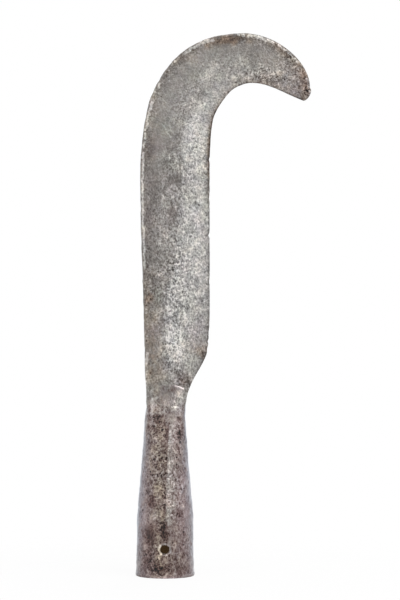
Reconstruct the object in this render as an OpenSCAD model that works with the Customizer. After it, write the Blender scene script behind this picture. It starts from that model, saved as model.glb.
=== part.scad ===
// Socketed billhook head, hand forged: an iron blade with a hook, a steel
// cutting edge let into a cleft in the iron, and a rolled iron socket.
// Millimetres. Z runs up the socket axis from the mouth, X points to the
// cutting edge and the beak, Y is the thickness.

/* [Socket] */
// Outside diameter at the thickened mouth
mouth_d = 42; // [40:0.5:46]
// Outside diameter of the barrel above the mouth
barrel_d = 39; // [38:0.5:40]
// Bore of the barrel that takes the handle
handle_d = 33; // [29:0.5:34]
// Length of the flare from the mouth up
flare_len = 20; // [8:1:24]
// Length of the parallel barrel from the mouth up
barrel_len = 40; // [32:1:52]
// Length over which the barrel tapers to the neck
taper_len = 66; // [58:1:80]
// Width of the neck seen on the flat of the blade
neck_w = 28; // [26:0.5:30]
// Depth of the hollow from the mouth
hollow_len = 90; // [82:1:92]
// Diameter at the closed end of the hollow
hollow_end_d = 22; // [18:0.5:23]
// Width of the rolled seam at the back
seam_w = 0.8; // [0.5:0.1:1.5]

/* [Nail hole] */
// Diameter of the nail hole in the front wall
nail_d = 6.4; // [4:0.2:8]
// Height of the nail hole above the mouth
nail_z = 20; // [14:0.5:26]

/* [Weld lap] */
// Length of the parallel neck below the blade
neck_len = 16; // [13:0.5:20]
// Height of the lap's crown above the neck
lap_len = 12; // [10:0.5:14]
// Rise of the lap's rounded end
lap_rise = 6.5; // [4:0.5:8]
// Offset of the lap's crown towards the edge
lap_shift = 2; // [0:0.5:3]
// Thickness of the lap at its end
lap_t = 0.9; // [0.6:0.1:1.4]
// Radius of the hammered hollow on each side of the neck
scoop_r = 80; // [74:1:88]
// Width of the blade's tongue at its lower end
tongue_end_w = 18; // [12:0.5:20]

/* [Blade] */
// Thickness of the blade at its root and tongue
root_t = 8; // [7:0.2:9]
// Thickness of the back at the crown of the hook
crown_t = 5; // [4.4:0.2:6]
// Thickness of the beak at its end
tip_t = 3.4; // [3:0.2:4]
// Thickness of the worn cutting edge
edge_t = 1; // [0.6:0.1:1.6]
// Distance from the socket axis to the back
back_reach = 17.5; // [16.5:0.5:21]
// Width of the blade from back to edge
blade_w = 48.7; // [45:0.1:54]
// Height from the neck to the top of the heel
heel_len = 44.5; // [40:0.5:52]
// Length of the straight back above the heel
straight_len = 112.5; // [90:0.5:140]
// Width of the bevel on the straight edge
bevel_w = 24; // [20:0.5:27]
// Width of the bevel inside the hook
hook_bevel_w = 14; // [12:0.5:16]
// Chamfer along the back
back_chamfer = 1.8; // [1:0.1:2.2]

/* [Hook] */
// Rise of the hook from the straight back to the crown
hook_rise = 100.5; // [90:0.5:115]
// Distance from the socket axis to the outermost beak
hook_reach = 101.4; // [92:0.5:112]
// Distance from the socket axis to the crown
crown_x = 55.3; // [50:0.5:60]
// Width of the hook from crown to underside
crown_w = 35; // [30:0.5:40]
// Distance from the socket axis to the underside's highest point
apex_x = 61.3; // [57:0.5:66]
// Drop from the crown to the start of the throat
throat_drop = 92; // [84:0.5:98]
// Drop from the crown to the outer corner of the beak
beak_drop = 38.5; // [35:0.5:42]
// Height of the blunt end of the beak
beak_end_h = 8.6; // [6:0.2:11]
// Run of the blunt end back towards the blade
beak_end_run = 5.2; // [4:0.2:8]
// Angle of the underside at the beak
beak_angle = 21; // [12:1:28]
// Bulge of the beak's rounded end
nose_bulge = 2.5; // [1:0.5:3]

/* [Steel] */
// Width of steel showing along the edge
steel_w = 9; // [7:0.5:11]
// Depth of the steel's wedge inside the iron
steel_in = 7; // [5:0.5:9]
// Length over which the steel fades out at the heel
steel_fade = 16; // [10:1:24]

/* [Hidden] */

edge_break = 0.4;
taper_end = barrel_len + taper_len;
neck_top = taper_end + neck_len;
lap_z = neck_top + lap_len;
heel_z = neck_top + heel_len;
back_z = heel_z + straight_len;
total_len = back_z + hook_rise;
edge_x = blade_w - back_reach;
throat_z = total_len - throat_drop;
apex_z = total_len - crown_w;
beak_out = [hook_reach, total_len - beak_drop];
beak_in = beak_out - [beak_end_run, beak_end_h];
thin_z = lap_z + 1;

// How full each curve is: the share of its run or rise taken by its handle
shoulder_rise_full = 0.63;
shoulder_run_full = 0.7;
beak_run_full = 0.44;
beak_rise_full = 0.53;
throat_rise_full = 0.62;
throat_run_full = 0.65;
under_run_full = 0.33;
under_end_full = 0.42;
heel_low_full = 0.34;
heel_high_full = 0.5;

heel_steps = 16;
blade_steps = 16;
hook_steps = 26;
beak_steps = 16;
nose_angles = [40, 72];

function mix(a, b, t) = a + (b - a) * t;
function clamp01(t) = min(1, max(0, t));
function ease(t) = let (c = clamp01(t)) c * c * (3 - 2 * c);
function bez(a, b, c, d, t) =
    pow(1 - t, 3) * a + 3 * t * pow(1 - t, 2) * b + 3 * t * t * (1 - t) * c + pow(t, 3) * d;

// Back line below the hook: leaves the neck and eases to full reach
function back_x(z) =
    -mix(neck_w / 2, back_reach, ease((z - neck_top) / (back_z - neck_top)));

// Front view curves, each a point [x, z] for t from 0 to 1
function heel_pt(t) = bez(
    [neck_w / 2, neck_top],
    [neck_w / 2, neck_top + heel_low_full * heel_len],
    [edge_x, heel_z - heel_high_full * heel_len],
    [edge_x, heel_z], t);
function shoulder_pt(t) = bez(
    [-back_reach, back_z],
    [-back_reach, back_z + shoulder_rise_full * hook_rise],
    [crown_x - shoulder_run_full * (crown_x + back_reach), total_len],
    [crown_x, total_len], t);
function throat_pt(t) = bez(
    [edge_x, throat_z],
    [edge_x, throat_z + throat_rise_full * (apex_z - throat_z)],
    [apex_x - throat_run_full * (apex_x - edge_x), apex_z],
    [apex_x, apex_z], t);
function crown_pt(t) = bez(
    [crown_x, total_len],
    [crown_x + beak_run_full * (hook_reach - crown_x), total_len],
    beak_out + [0, beak_rise_full * beak_drop],
    beak_out, t);
function under_pt(t) =
    let (run = beak_in[0] - apex_x)
    bez([apex_x, apex_z],
        [apex_x + under_run_full * run, apex_z],
        beak_in - under_end_full * run * [cos(beak_angle), -sin(beak_angle)],
        beak_in, t);

// A station across the blade:
// [back point, edge point, half back, half edge, chamfer, bevel, steel shown, steel inside]
function tongue_station(w, z) =
    [[-w / 2, z], [w / 2, z], root_t / 2, root_t / 2, edge_break, w / 2, 0, 0];
function heel_station(t) =
    let (e = heel_pt(t),
         k = clamp01((e[1] - thin_z) / (back_z - thin_z)),
         g = ease((e[1] - thin_z) / (heel_z - thin_z)),
         h = mix(root_t, crown_t, k) / 2)
    [[back_x(e[1]), e[1]], e, h, mix(h, edge_t / 2, g),
     mix(edge_break, back_chamfer, g), mix(neck_w / 2, bevel_w, g), 0, 0];
function blade_station(t) =
    let (z = mix(heel_z, back_z, t),
         ze = mix(heel_z, throat_z, t),
         k = clamp01((z - thin_z) / (back_z - thin_z)),
         f = ease((ze - heel_z) / steel_fade))
    [[back_x(z), z], [edge_x, ze], mix(root_t, crown_t, k) / 2, edge_t / 2,
     back_chamfer, bevel_w, f * steel_w, f * steel_in];
function hook_station(t) =
    [shoulder_pt(t), throat_pt(t), crown_t / 2, edge_t / 2,
     back_chamfer, mix(bevel_w, hook_bevel_w, ease(t)), steel_w, steel_in];
function beak_station(t) =
    let (b = crown_pt(t), e = under_pt(t), w = norm(e - b))
    [b, e, mix(crown_t, tip_t, t) / 2, edge_t / 2, min(back_chamfer, w / 5),
     min(hook_bevel_w, w * 0.6), min(steel_w, w * 0.3), min(steel_in, w * 0.25)];
function nose_station(a) =
    let (mid = (beak_out + beak_in) / 2,
         half = (beak_out - beak_in) / 2,
         out = [half[1], -half[0]] / norm(half),
         b = mid + half * cos(a) + out * nose_bulge * sin(a),
         e = mid - half * cos(a) + out * nose_bulge * sin(a),
         w = norm(e - b))
    [b, e, tip_t / 2 * (1 - 0.25 * sin(a)), edge_t / 2, w / 5, w * 0.6, w * 0.3, w * 0.25];

lower_stations = concat(
    [tongue_station(tongue_end_w, hollow_len), tongue_station(neck_w, neck_top)],
    [for (i = [1 : heel_steps]) heel_station(i / heel_steps)]);
upper_stations = concat(
    [for (i = [1 : blade_steps]) blade_station(pow(i / blade_steps, 1.6))],
    [for (i = [1 : hook_steps]) hook_station(i / hook_steps)],
    [for (i = [1 : beak_steps]) beak_station(i / beak_steps)],
    [for (a = nose_angles) nose_station(a)]);

// Points of a station in space: u millimetres from the back, y off the middle plane
function on(s, u, y) =
    let (d = (s[1] - s[0]) / norm(s[1] - s[0]), p = s[0] + d * u) [p[0], y, p[1]];
function width(s) = norm(s[1] - s[0]);
function back_h(s) = max(s[2] - s[4], 0.4 * s[2]);
function lip_h(s) = mix(s[3], s[2], s[6] / s[5]);
function lip(s, side) = on(s, width(s) - s[6], side * lip_h(s));
function root_of_cleft(s) = on(s, width(s) - s[6] - s[7], 0);
function body_ring(s) = [
    on(s, 0, -back_h(s)), on(s, s[4], -s[2]), on(s, width(s) - s[5], -s[2]), lip(s, -1),
    root_of_cleft(s),
    lip(s, 1), on(s, width(s) - s[5], s[2]), on(s, s[4], s[2]), on(s, 0, back_h(s))];
function steel_ring(s) = [
    root_of_cleft(s), lip(s, -1), on(s, width(s), -s[3]), on(s, width(s), s[3]), lip(s, 1)];

module blade_body() {
    stations = concat(lower_stations, upper_stations);
    n = 9;
    rings = len(stations);
    rising = [0, 1, 2, 4, 5, 6, 7, 8];
    color("dimgray") polyhedron(
        points = [for (s = stations) each body_ring(s)],
        faces = concat(
            [[for (k = [0 : n - 1]) k]],
            [for (i = [0 : rings - 2], k = rising, h = [0, 1])
                let (a = i * n + k, b = i * n + (k + 1) % n)
                h == 0 ? [a, a + n, b + n] : [a, b + n, b]],
            [for (i = [0 : rings - 2], h = [0, 1])
                let (a = i * n + 3, b = a + 1)
                h == 0 ? [a, a + n, b] : [a + n, b + n, b]],
            [[for (k = [n - 1 : -1 : 0]) (rings - 1) * n + k]]));
}

// The steel starts as a line across the edge at the heel and shares the cleft's faces
module steel_edge() {
    first = lower_stations[len(lower_stations) - 1];
    n = 5;
    rings = len(upper_stations);
    color("silver") polyhedron(
        points = concat(
            [root_of_cleft(first), lip(first, -1), lip(first, 1)],
            [for (s = upper_stations) each steel_ring(s)]),
        faces = concat(
            [[0, 4, 1], [0, 3, 4], [0, 7, 3], [0, 2, 7],
             [1, 4, 5], [2, 6, 7], [0, 1, 5], [0, 5, 6], [0, 6, 2]],
            [for (i = [0 : rings - 2], k = [0 : n - 1], h = [0, 1])
                let (a = 3 + i * n + k, b = 3 + i * n + (k + 1) % n)
                k == n - 1
                    ? (h == 0 ? [a, a + n, b] : [b, a + n, b + n])
                    : (h == 0 ? [a, a + n, b + n] : [a, b + n, b])],
            [[for (k = [n - 1 : -1 : 0]) 3 + (rings - 1) * n + k]]));
}

// Outside radius of the socket at height z, before the neck is flattened:
// a flared mouth, a barrel, and a taper with both its ends eased
soft = 0.12;
function soft_ramp(t) =
    t < -soft ? 0
    : t < soft ? pow(t + soft, 2) / (4 * soft)
    : t < 1 - soft ? t
    : t < 1 + soft ? 1 - pow(1 + soft - t, 2) / (4 * soft)
    : 1;
function socket_r(z) =
    mix(barrel_d / 2, neck_w / 2, soft_ramp((z - barrel_len) / taper_len))
    + (mouth_d - barrel_d) / 2 * pow(clamp01(1 - z / flare_len), 2);
flare_steps = 4;
soft_steps = 4;
socket_heights = concat(
    [for (i = [0 : flare_steps]) flare_len * i / flare_steps],
    [for (end = [barrel_len, taper_end], i = [0 : soft_steps])
        end + taper_len * soft * (2 * i / soft_steps - 1)],
    [lap_z + 1]);

// Rounded end of the lap, an arch seen on the flat of the blade
lap_half = neck_w / 2 + lap_shift;
lap_r = (lap_rise * lap_rise + lap_half * lap_half) / (2 * lap_rise);

module socket_blank() {
    intersection() {
        rotate_extrude($fn = 96)
            polygon(concat(
                [[0, 0]],
                [for (z = socket_heights) [socket_r(z), z]],
                [[0, lap_z + 1]]));
        union() {
            translate([-mouth_d, -mouth_d, -1]) cube([2 * mouth_d, 2 * mouth_d, neck_top + 1]);
            translate([lap_shift, 0, lap_z - lap_r]) rotate([90, 0, 0])
                cylinder(r = lap_r, h = 2 * mouth_d, center = true, $fn = 96);
        }
    }
}

module tongue_slot() {
    rotate([90, 0, 0]) linear_extrude(root_t, center = true)
        polygon([
            [-tongue_end_w / 2, hollow_len], [tongue_end_w / 2, hollow_len],
            [neck_w / 2, neck_top], [blade_w, neck_top], [blade_w, lap_z + 2],
            [-blade_w, lap_z + 2], [-blade_w, neck_top], [-neck_w / 2, neck_top]]);
}

module socket() {
    color("sienna") difference() {
        socket_blank();
        for (side = [-1, 1])
            translate([0, side * (root_t / 2 + lap_t + scoop_r), lap_z]) rotate([0, 90, 0])
                cylinder(r = scoop_r, h = 2 * mouth_d, center = true, $fn = 96);
        tongue_slot();
        translate([0, 0, -1]) cylinder(d = handle_d, h = barrel_len + 1, $fn = 96);
        translate([0, 0, barrel_len])
            cylinder(d1 = handle_d, d2 = hollow_end_d, h = hollow_len - barrel_len, $fn = 96);
        translate([0, 0, nail_z]) rotate([90, 0, 0]) cylinder(d = nail_d, h = mouth_d, $fn = 48);
        translate([-seam_w / 2, 0, -1]) cube([seam_w, mouth_d, hollow_len + 1]);
    }
}

blade_body();
steel_edge();
socket();
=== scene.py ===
"""Looks of a socketed billhook head: forged iron blade, steel cutting edge and rolled socket."""

from __future__ import annotations

import logging
import math
from dataclasses import dataclass, replace
from enum import Enum
from typing import Callable, Union

import bpy
import numpy as np
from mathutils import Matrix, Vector

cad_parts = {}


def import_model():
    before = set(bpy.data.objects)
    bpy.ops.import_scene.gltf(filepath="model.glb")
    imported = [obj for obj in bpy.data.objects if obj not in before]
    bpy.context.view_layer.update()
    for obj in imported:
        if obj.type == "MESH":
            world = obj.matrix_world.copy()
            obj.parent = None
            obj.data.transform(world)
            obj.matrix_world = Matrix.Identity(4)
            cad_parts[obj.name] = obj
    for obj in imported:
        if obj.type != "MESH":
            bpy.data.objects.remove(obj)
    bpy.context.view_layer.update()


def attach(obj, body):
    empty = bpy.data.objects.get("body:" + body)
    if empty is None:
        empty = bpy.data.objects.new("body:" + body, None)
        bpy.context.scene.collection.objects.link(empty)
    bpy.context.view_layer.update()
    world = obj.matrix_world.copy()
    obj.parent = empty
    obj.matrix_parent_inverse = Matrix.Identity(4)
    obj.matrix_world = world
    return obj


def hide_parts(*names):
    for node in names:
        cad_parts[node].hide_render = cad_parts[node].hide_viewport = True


LOG = logging.getLogger("billhook")
MM = 0.001
SHARP_ANGLE = math.radians(50)
Colour = tuple[float, float, float]
Place = tuple[float, float, float]


class Piece(Enum):
    """The pieces of the head, named as the solids are."""

    BLADE = "blade_body"
    STEEL = "steel_edge"
    SOCKET = "socket"


# Node graphs written as expressions


def math_method(operation: str, reflected: bool = False) -> Callable[..., Field]:
    """Makes a method of Field that adds one Math node.

    Args:
        operation: what the Math node does.
        reflected: whether the field stands on the right of its operator.

    Returns:
        The method, which takes the other terms.
    """

    def method(self: Field, *others: Term) -> Field:
        """Adds the Math node."""
        terms = (*others, self) if reflected else (self, *others)
        return self.graph.math(operation, *terms)

    return method


class Field:
    """A node socket that can stand in a Python expression. Each step of one adds a Math node."""

    def __init__(self, graph: Graph, socket: bpy.types.NodeSocket) -> None:
        """Keeps the socket and the graph that it belongs to."""
        self.graph = graph
        self.socket = socket

    __add__ = math_method("ADD")
    __radd__ = math_method("ADD", reflected=True)
    __sub__ = math_method("SUBTRACT")
    __rsub__ = math_method("SUBTRACT", reflected=True)
    __mul__ = math_method("MULTIPLY")
    __rmul__ = math_method("MULTIPLY", reflected=True)
    __truediv__ = math_method("DIVIDE")
    __rtruediv__ = math_method("DIVIDE", reflected=True)
    __pow__ = math_method("POWER")
    __abs__ = math_method("ABSOLUTE")
    sign = math_method("SIGN")
    sin = math_method("SINE")
    cos = math_method("COSINE")
    at_least = math_method("MAXIMUM")
    at_most = math_method("MINIMUM")
    below = math_method("LESS_THAN")
    # The smaller and the larger of two fields, with the corner rounded over a reach
    soft_min = math_method("SMOOTH_MIN")
    soft_max = math_method("SMOOTH_MAX")

    def sqrt(self) -> Field:
        """Square root, with nought for what lies below it."""
        return self.graph.math("SQRT", self.at_least(0.0))

    def unit(self) -> Field:
        """This field held between nought and one."""
        return self.at_least(0.0).at_most(1.0)

    def signed_power(self, power: Term) -> Field:
        """The field's size raised to a power, with its sign kept."""
        return self.sign() * abs(self) ** power

    def ease(self, low: float, high: float) -> Field:
        """Smooth rise from nought at one level to one at another, which may be the smaller."""
        step = ((self - low) / (high - low)).unit()
        return step * step * (3.0 - 2.0 * step)


Term = Union[Field, float, int]
Value = Union[Field, float, int, bool, str, tuple, bpy.types.Material]
Inputs = dict[Union[str, int], Value]


class Graph:
    """A node tree that is filled by expressions and by one node method."""

    def __init__(self, tree: bpy.types.NodeTree) -> None:
        """Keeps the tree that the nodes go into."""
        self.tree = tree

    def node(self, kind: str, inputs: Inputs | None = None, **settings: str) -> bpy.types.Node:
        """Adds one node.

        Args:
            kind: Blender's name for the node's type.
            inputs: values or fields for its sockets, by name or number.
            **settings: the node's own properties, which are set first.

        Returns:
            The new node.
        """
        node = self.tree.nodes.new(kind)
        for key, value in settings.items():
            setattr(node, key, value)
        for key, value in (inputs or {}).items():
            self.feed(node.inputs[key], value)
        return node

    def feed(self, socket: bpy.types.NodeSocket, value: Value) -> None:
        """Links a field to a socket, or sets the socket's own value.

        Args:
            socket: an input of a node.
            value: the field, or the plain value.
        """
        if isinstance(value, Field):
            self.tree.links.new(value.socket, socket)
        else:
            socket.default_value = value

    def out(self, node: bpy.types.Node, name: str | int = 0) -> Field:
        """A node's output as a field."""
        return Field(self, node.outputs[name])

    def made(self, kind: str, inputs: Inputs | None = None, **settings: str) -> Field:
        """Adds one node and gives its first output."""
        return self.out(self.node(kind, inputs, **settings))

    def math(self, operation: str, *terms: Term) -> Field:
        """Adds a Math node for an operation on fields and numbers."""
        return self.made("ShaderNodeMath", dict(enumerate(terms)), operation=operation)

    def vector(self, operation: str, inputs: Inputs) -> Field:
        """Adds a Vector Math node, its inputs given by socket."""
        return self.made("ShaderNodeVectorMath", inputs, operation=operation)

    def join(self, x: Term, y: Term, z: Term) -> Field:
        """A vector from its three parts."""
        return self.made("ShaderNodeCombineXYZ", {0: x, 1: y, 2: z})

    def parts(self, vector: Field) -> tuple[Field, Field, Field]:
        """The three parts of a vector."""
        node = self.node("ShaderNodeSeparateXYZ", {0: vector})
        return self.out(node, 0), self.out(node, 1), self.out(node, 2)

    def object_place(self) -> Field:
        """Position in the object's own coordinates, in a material."""
        return self.out(self.node("ShaderNodeTexCoord"), "Object")

    def noise(self, place: Field, grain: Term, detail: float, rough: float, seed: float = 0.0) -> Field:
        """Soft noise about one half.

        Args:
            place: the position that it is read at.
            grain: size of its lumps, in metres.
            detail: octaves of finer noise.
            rough: share of the finer noise.
            seed: picks another pattern.

        Returns:
            A field that is mostly between 0.3 and 0.7.
        """
        inputs = {"Vector": place, "W": seed, "Scale": 1.0 / grain, "Detail": detail, "Roughness": rough}
        return self.made("ShaderNodeTexNoise", inputs, noise_dimensions="4D")

    def swing(self, place: Field, grain: Term, detail: float, seed: float) -> Field:
        """Soft noise about nought, mostly between minus one and one."""
        return (self.noise(place, grain, detail, 0.6, seed) - 0.5) * 8.0

    def cells(self, place: Field, grain: float, wobble: float) -> Field:
        """Packed little hollows with ridges between them, about nought.

        Args:
            place: the position that it is read at.
            grain: size of a hollow, in metres.
            wobble: how far the hollows are pushed out of round, in metres.

        Returns:
            A field that is below nought in a hollow and above it on a ridge.
        """
        middle = 0.44
        gain = 5.5
        push = self.node("ShaderNodeTexNoise", {"Vector": place, "Scale": 0.7 / grain, "Detail": 1.0})
        push = self.vector("SUBTRACT", {0: self.out(push, "Color"), 1: (0.5, 0.5, 0.5)})
        push = self.vector("SCALE", {0: push, "Scale": wobble})
        moved = self.vector("ADD", {0: place, 1: push})
        cells = self.made("ShaderNodeTexVoronoi", {"Vector": moved, "Scale": 1.0 / grain})
        return (cells - middle) * gain

    def pits(self, place: Field, grain: Term, share: Term) -> Field:
        """Round pits in some of the cells of a pattern.

        Args:
            place: the position that it is read at.
            grain: size of a cell, in metres.
            share: share of the cells that hold a pit.

        Returns:
            A field that is one in the middle of a pit and nought outside.
        """
        steep = 1.7
        cells = self.node("ShaderNodeTexVoronoi", {"Vector": place, "Scale": 1.0 / grain})
        chance, spread, _ = self.parts(self.out(cells, "Color"))
        size = 0.22 + 0.2 * spread
        depth = (steep - steep * self.out(cells, "Distance") / size).unit()
        return depth * chance.below(share)

    def scratches(self, place: Field, seed: float) -> Field:
        """Fine long scratches, most of them along the piece and some aslant.

        Args:
            place: the position that it is read at.
            seed: picks another pattern.

        Returns:
            A field that is one on a scratch and nought elsewhere.
        """
        wide = 0.0011
        deep = 0.004
        far = 0.009
        x, y, z = self.parts(place)
        lines = None
        for lean in (0.12, -0.55, 1.1):
            across = x * math.cos(lean) - z * math.sin(lean)
            along = x * math.sin(lean) + z * math.cos(lean)
            spot = self.join(across / wide, y / deep, along / far)
            line = self.noise(spot, 1.0, 1.0, 0.5, seed + 5.0 * lean).ease(0.66, 0.76)
            lines = line if lines is None else lines.at_least(line)
        return lines

    def blend(self, low: Field | tuple, high: Field | tuple, amount: Term) -> Field:
        """A colour between two others.

        Args:
            low: colour at nought.
            high: colour at one.
            amount: how far from the first to the second.

        Returns:
            The mixed colour.
        """
        first = low if isinstance(low, Field) else (*low, 1.0)
        second = high if isinstance(high, Field) else (*high, 1.0)
        node = self.node("ShaderNodeMix", {0: amount, 6: first, 7: second}, data_type="RGBA")
        return self.out(node, 2)

    def stored(self, layer: Layer) -> Field:
        """A number that the mesh carries at each point, in a material."""
        return self.out(self.node("ShaderNodeAttribute", attribute_name=layer.value), "Fac")

    def named(self, layer: Layer) -> Field:
        """A number that the mesh carries at each point, in a geometry tree."""
        return self.made("GeometryNodeInputNamedAttribute", {"Name": layer.value}, data_type="FLOAT")


def emptied_shader(owner: bpy.types.Material | bpy.types.World) -> Graph:
    """The shader graph of a new material or world, without the nodes that it comes with.

    Args:
        owner: the material or the world.

    Returns:
        Its empty graph.
    """
    owner.use_nodes = True
    owner.node_tree.nodes.clear()
    return Graph(owner.node_tree)


class GeometryTree:
    """A Geometry Nodes tree with named inputs, and the mesh that it makes."""

    def __init__(self, name: str, sizes: dict[str, float], takes_mesh: bool) -> None:
        """Makes the tree and its inputs.

        Args:
            name: the tree's name.
            sizes: named inputs and their values, in metres or plain numbers.
            takes_mesh: whether it works on a mesh that is already there.
        """
        self.tree = bpy.data.node_groups.new(name, "GeometryNodeTree")
        self.graph = Graph(self.tree)
        self.values: dict[str, Value] = dict(sizes)
        face = self.tree.interface
        face.new_socket("Geometry", in_out="OUTPUT", socket_type="NodeSocketGeometry")
        if takes_mesh:
            face.new_socket("Geometry", in_out="INPUT", socket_type="NodeSocketGeometry")
        for label in sizes:
            face.new_socket(label, in_out="INPUT", socket_type="NodeSocketFloat")
        face.new_socket("Finish", in_out="INPUT", socket_type="NodeSocketMaterial")
        self.source = self.graph.node("NodeGroupInput")

    def size(self, label: str) -> Field:
        """One of the tree's named inputs."""
        return self.graph.out(self.source, label)

    def place(self) -> Field:
        """Position of each point."""
        return self.graph.made("GeometryNodeInputPosition")

    def merged(self, geometry: Field, distance: float) -> Field:
        """A mesh whose points are merged where they lie closer than a distance."""
        return self.graph.made("GeometryNodeMergeByDistance", {"Geometry": geometry, "Distance": distance})

    def end(self, geometry: Field) -> None:
        """Closes the tree with Realize Instances and Set Material.

        Args:
            geometry: what the tree has made.
        """
        solid = self.graph.made("GeometryNodeRealizeInstances", {"Geometry": geometry})
        inputs = {"Geometry": solid, "Material": self.size("Finish")}
        dressed = self.graph.made("GeometryNodeSetMaterial", inputs)
        self.graph.node("NodeGroupOutput", {"Geometry": dressed})

    def apply(self, piece: bpy.types.Object, finish: bpy.types.Material) -> None:
        """Runs the tree on an object and leaves the result as its plain mesh.

        Args:
            piece: the object that gets the result.
            finish: the material that the tree sets.
        """
        modifier = piece.modifiers.new(self.tree.name, "NODES")
        modifier.node_group = self.tree
        self.values["Finish"] = finish
        for item in self.tree.interface.items_tree:
            if item.in_out == "INPUT" and item.name in self.values:
                modifier[item.identifier] = self.values[item.name]
        bpy.context.view_layer.update()
        graph = bpy.context.evaluated_depsgraph_get()
        mesh = bpy.data.meshes.new_from_object(piece.evaluated_get(graph))
        piece.modifiers.remove(modifier)
        piece.data = mesh
        mesh.name = piece.name


# Sizes of the head, in millimetres


@dataclass(frozen=True)
class HeadSizes:
    """Sizes shared by the pieces, in millimetres.

    The solids have them too, apart from the slight bend that the hammer left in the neck.
    """

    mouth_r: float = 21.0
    barrel_r: float = 19.5
    bore_r: float = 16.5
    flare_len: float = 20.0
    barrel_len: float = 40.0
    taper_len: float = 66.0
    neck_half: float = 14.0
    neck_len: float = 16.0
    hollow_len: float = 90.0
    hollow_end_r: float = 11.0
    seam_half: float = 0.45
    nail_r: float = 3.2
    nail_z: float = 20.0
    lap_len: float = 12.0
    lap_rise: float = 6.5
    lap_shift: float = 2.0
    lap_t: float = 0.9
    scoop_r: float = 80.0
    tongue_half: float = 9.0
    root_t: float = 8.0
    crown_t: float = 5.0
    tip_t: float = 3.4
    edge_t: float = 1.0
    back_reach: float = 17.5
    blade_w: float = 48.7
    heel_len: float = 44.5
    straight_len: float = 112.5
    bevel_w: float = 24.0
    hook_bevel_w: float = 14.0
    back_chamfer: float = 1.8
    hook_rise: float = 100.5
    hook_reach: float = 101.4
    crown_x: float = 55.3
    crown_w: float = 35.0
    apex_x: float = 61.3
    throat_drop: float = 92.0
    beak_drop: float = 38.5
    beak_end_h: float = 8.6
    beak_end_run: float = 5.2
    beak_angle: float = 21.0
    nose_bulge: float = 2.5
    steel_w: float = 9.0
    steel_in: float = 7.0
    steel_fade: float = 16.0
    neck_bend: float = 0.9
    bend_start: float = 110.0
    bend_end: float = 142.0
    bend_run: float = 14.0

    @property
    def neck_top(self) -> float:
        """Height where the blade leaves the neck."""
        return self.barrel_len + self.taper_len + self.neck_len

    @property
    def lap_z(self) -> float:
        """Height of the lap's crown."""
        return self.neck_top + self.lap_len

    @property
    def lap_r(self) -> float:
        """Radius of the lap's rounded end."""
        half = self.neck_half + self.lap_shift
        return (self.lap_rise**2 + half**2) / (2 * self.lap_rise)

    @property
    def heel_z(self) -> float:
        """Height of the top of the heel."""
        return self.neck_top + self.heel_len

    @property
    def back_z(self) -> float:
        """Height where the back starts to bend."""
        return self.heel_z + self.straight_len

    @property
    def crown_z(self) -> float:
        """Height of the crown of the hook."""
        return self.back_z + self.hook_rise

    @property
    def throat_z(self) -> float:
        """Height where the edge starts to bend into the throat."""
        return self.crown_z - self.throat_drop

    @property
    def apex_z(self) -> float:
        """Height of the throat's highest point."""
        return self.crown_z - self.crown_w

    @property
    def edge_x(self) -> float:
        """Distance from the socket axis to the straight edge."""
        return self.blade_w - self.back_reach


# Small helpers on arrays


def ease(value: np.ndarray) -> np.ndarray:
    """Smooth rise from nought to one."""
    step = np.clip(value, 0.0, 1.0)
    return step * step * (3.0 - 2.0 * step)


def rise(value: np.ndarray, start: float, run: float) -> np.ndarray:
    """Smooth rise from nought at a start to one a run further on."""
    return ease((value - start) / run)


def fall(value: np.ndarray, end: float, run: float) -> np.ndarray:
    """Smooth fall to nought at an end, from one a run before it."""
    return ease((end - value) / run)


def hump(value: np.ndarray, middle: float | np.ndarray, reach: float | np.ndarray) -> np.ndarray:
    """Soft hump that is one at its middle."""
    return np.exp(-(((value - middle) / reach) ** 2))


def between(low: float | np.ndarray, high: float | np.ndarray, value: np.ndarray) -> np.ndarray:
    """Straight line from one number to another."""
    return low + (high - low) * value


def steps_to(count: int) -> np.ndarray:
    """Even steps up to one, without the nought that they start from."""
    return np.linspace(0.0, 1.0, count + 1)[1:]


def bezier(points: list[tuple[float, float]], steps: np.ndarray) -> np.ndarray:
    """Points on a cubic curve.

    Args:
        points: start, two handles and end.
        steps: places on the curve, from nought to one.

    Returns:
        One row of x and z for each step.
    """
    start, first, second, end = (np.array(point) for point in points)
    t = steps[:, None]
    rest = 1.0 - t
    return rest**3 * start + 3 * t * rest**2 * first + 3 * t**2 * rest * second + t**3 * end


def ripple(path: np.ndarray, grain: float, seed: int) -> np.ndarray:
    """Smooth noise from nought to one along a path.

    Args:
        path: distances along the path.
        grain: spacing of its waves, in the path's units.
        seed: picks another pattern.

    Returns:
        One number for each distance.
    """
    knots = np.random.default_rng(seed).random(int(path.max() / grain) + 3)
    place = path / grain
    low = np.floor(place).astype(int)
    share = ease(place - low)
    return knots[low] * (1 - share) + knots[low + 1] * share


def run_of(points: np.ndarray) -> np.ndarray:
    """Distance along a row of points, starting at nought."""
    steps = np.linalg.norm(np.diff(points, axis=0), axis=1)
    return np.concatenate([[0.0], np.cumsum(steps)])


def new_object(name: str, points: np.ndarray, faces: list[list[int]]) -> bpy.types.Object:
    """Makes a mesh object and links it to the scene.

    Args:
        name: the object's name.
        points: its points, in metres.
        faces: lists of point numbers.

    Returns:
        The new object.
    """
    mesh = bpy.data.meshes.new(name)
    mesh.from_pydata(points.tolist(), [], faces)
    mesh.update()
    return linked(name, mesh)


def linked(name: str, data: bpy.types.ID) -> bpy.types.Object:
    """Makes an object of a mesh, a lamp or a camera and links it to the scene.

    Args:
        name: the object's name.
        data: what it shows.

    Returns:
        The new object.
    """
    piece = bpy.data.objects.new(name, data)
    bpy.context.scene.collection.objects.link(piece)
    return piece


def set_numbers(piece: bpy.types.Object, name: str, values: np.ndarray) -> None:
    """Stores one number at each point of an object's mesh."""
    store = piece.data.attributes.get(name) or piece.data.attributes.new(name, "FLOAT", "POINT")
    store.data.foreach_set("value", values.astype(np.float32))


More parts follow.
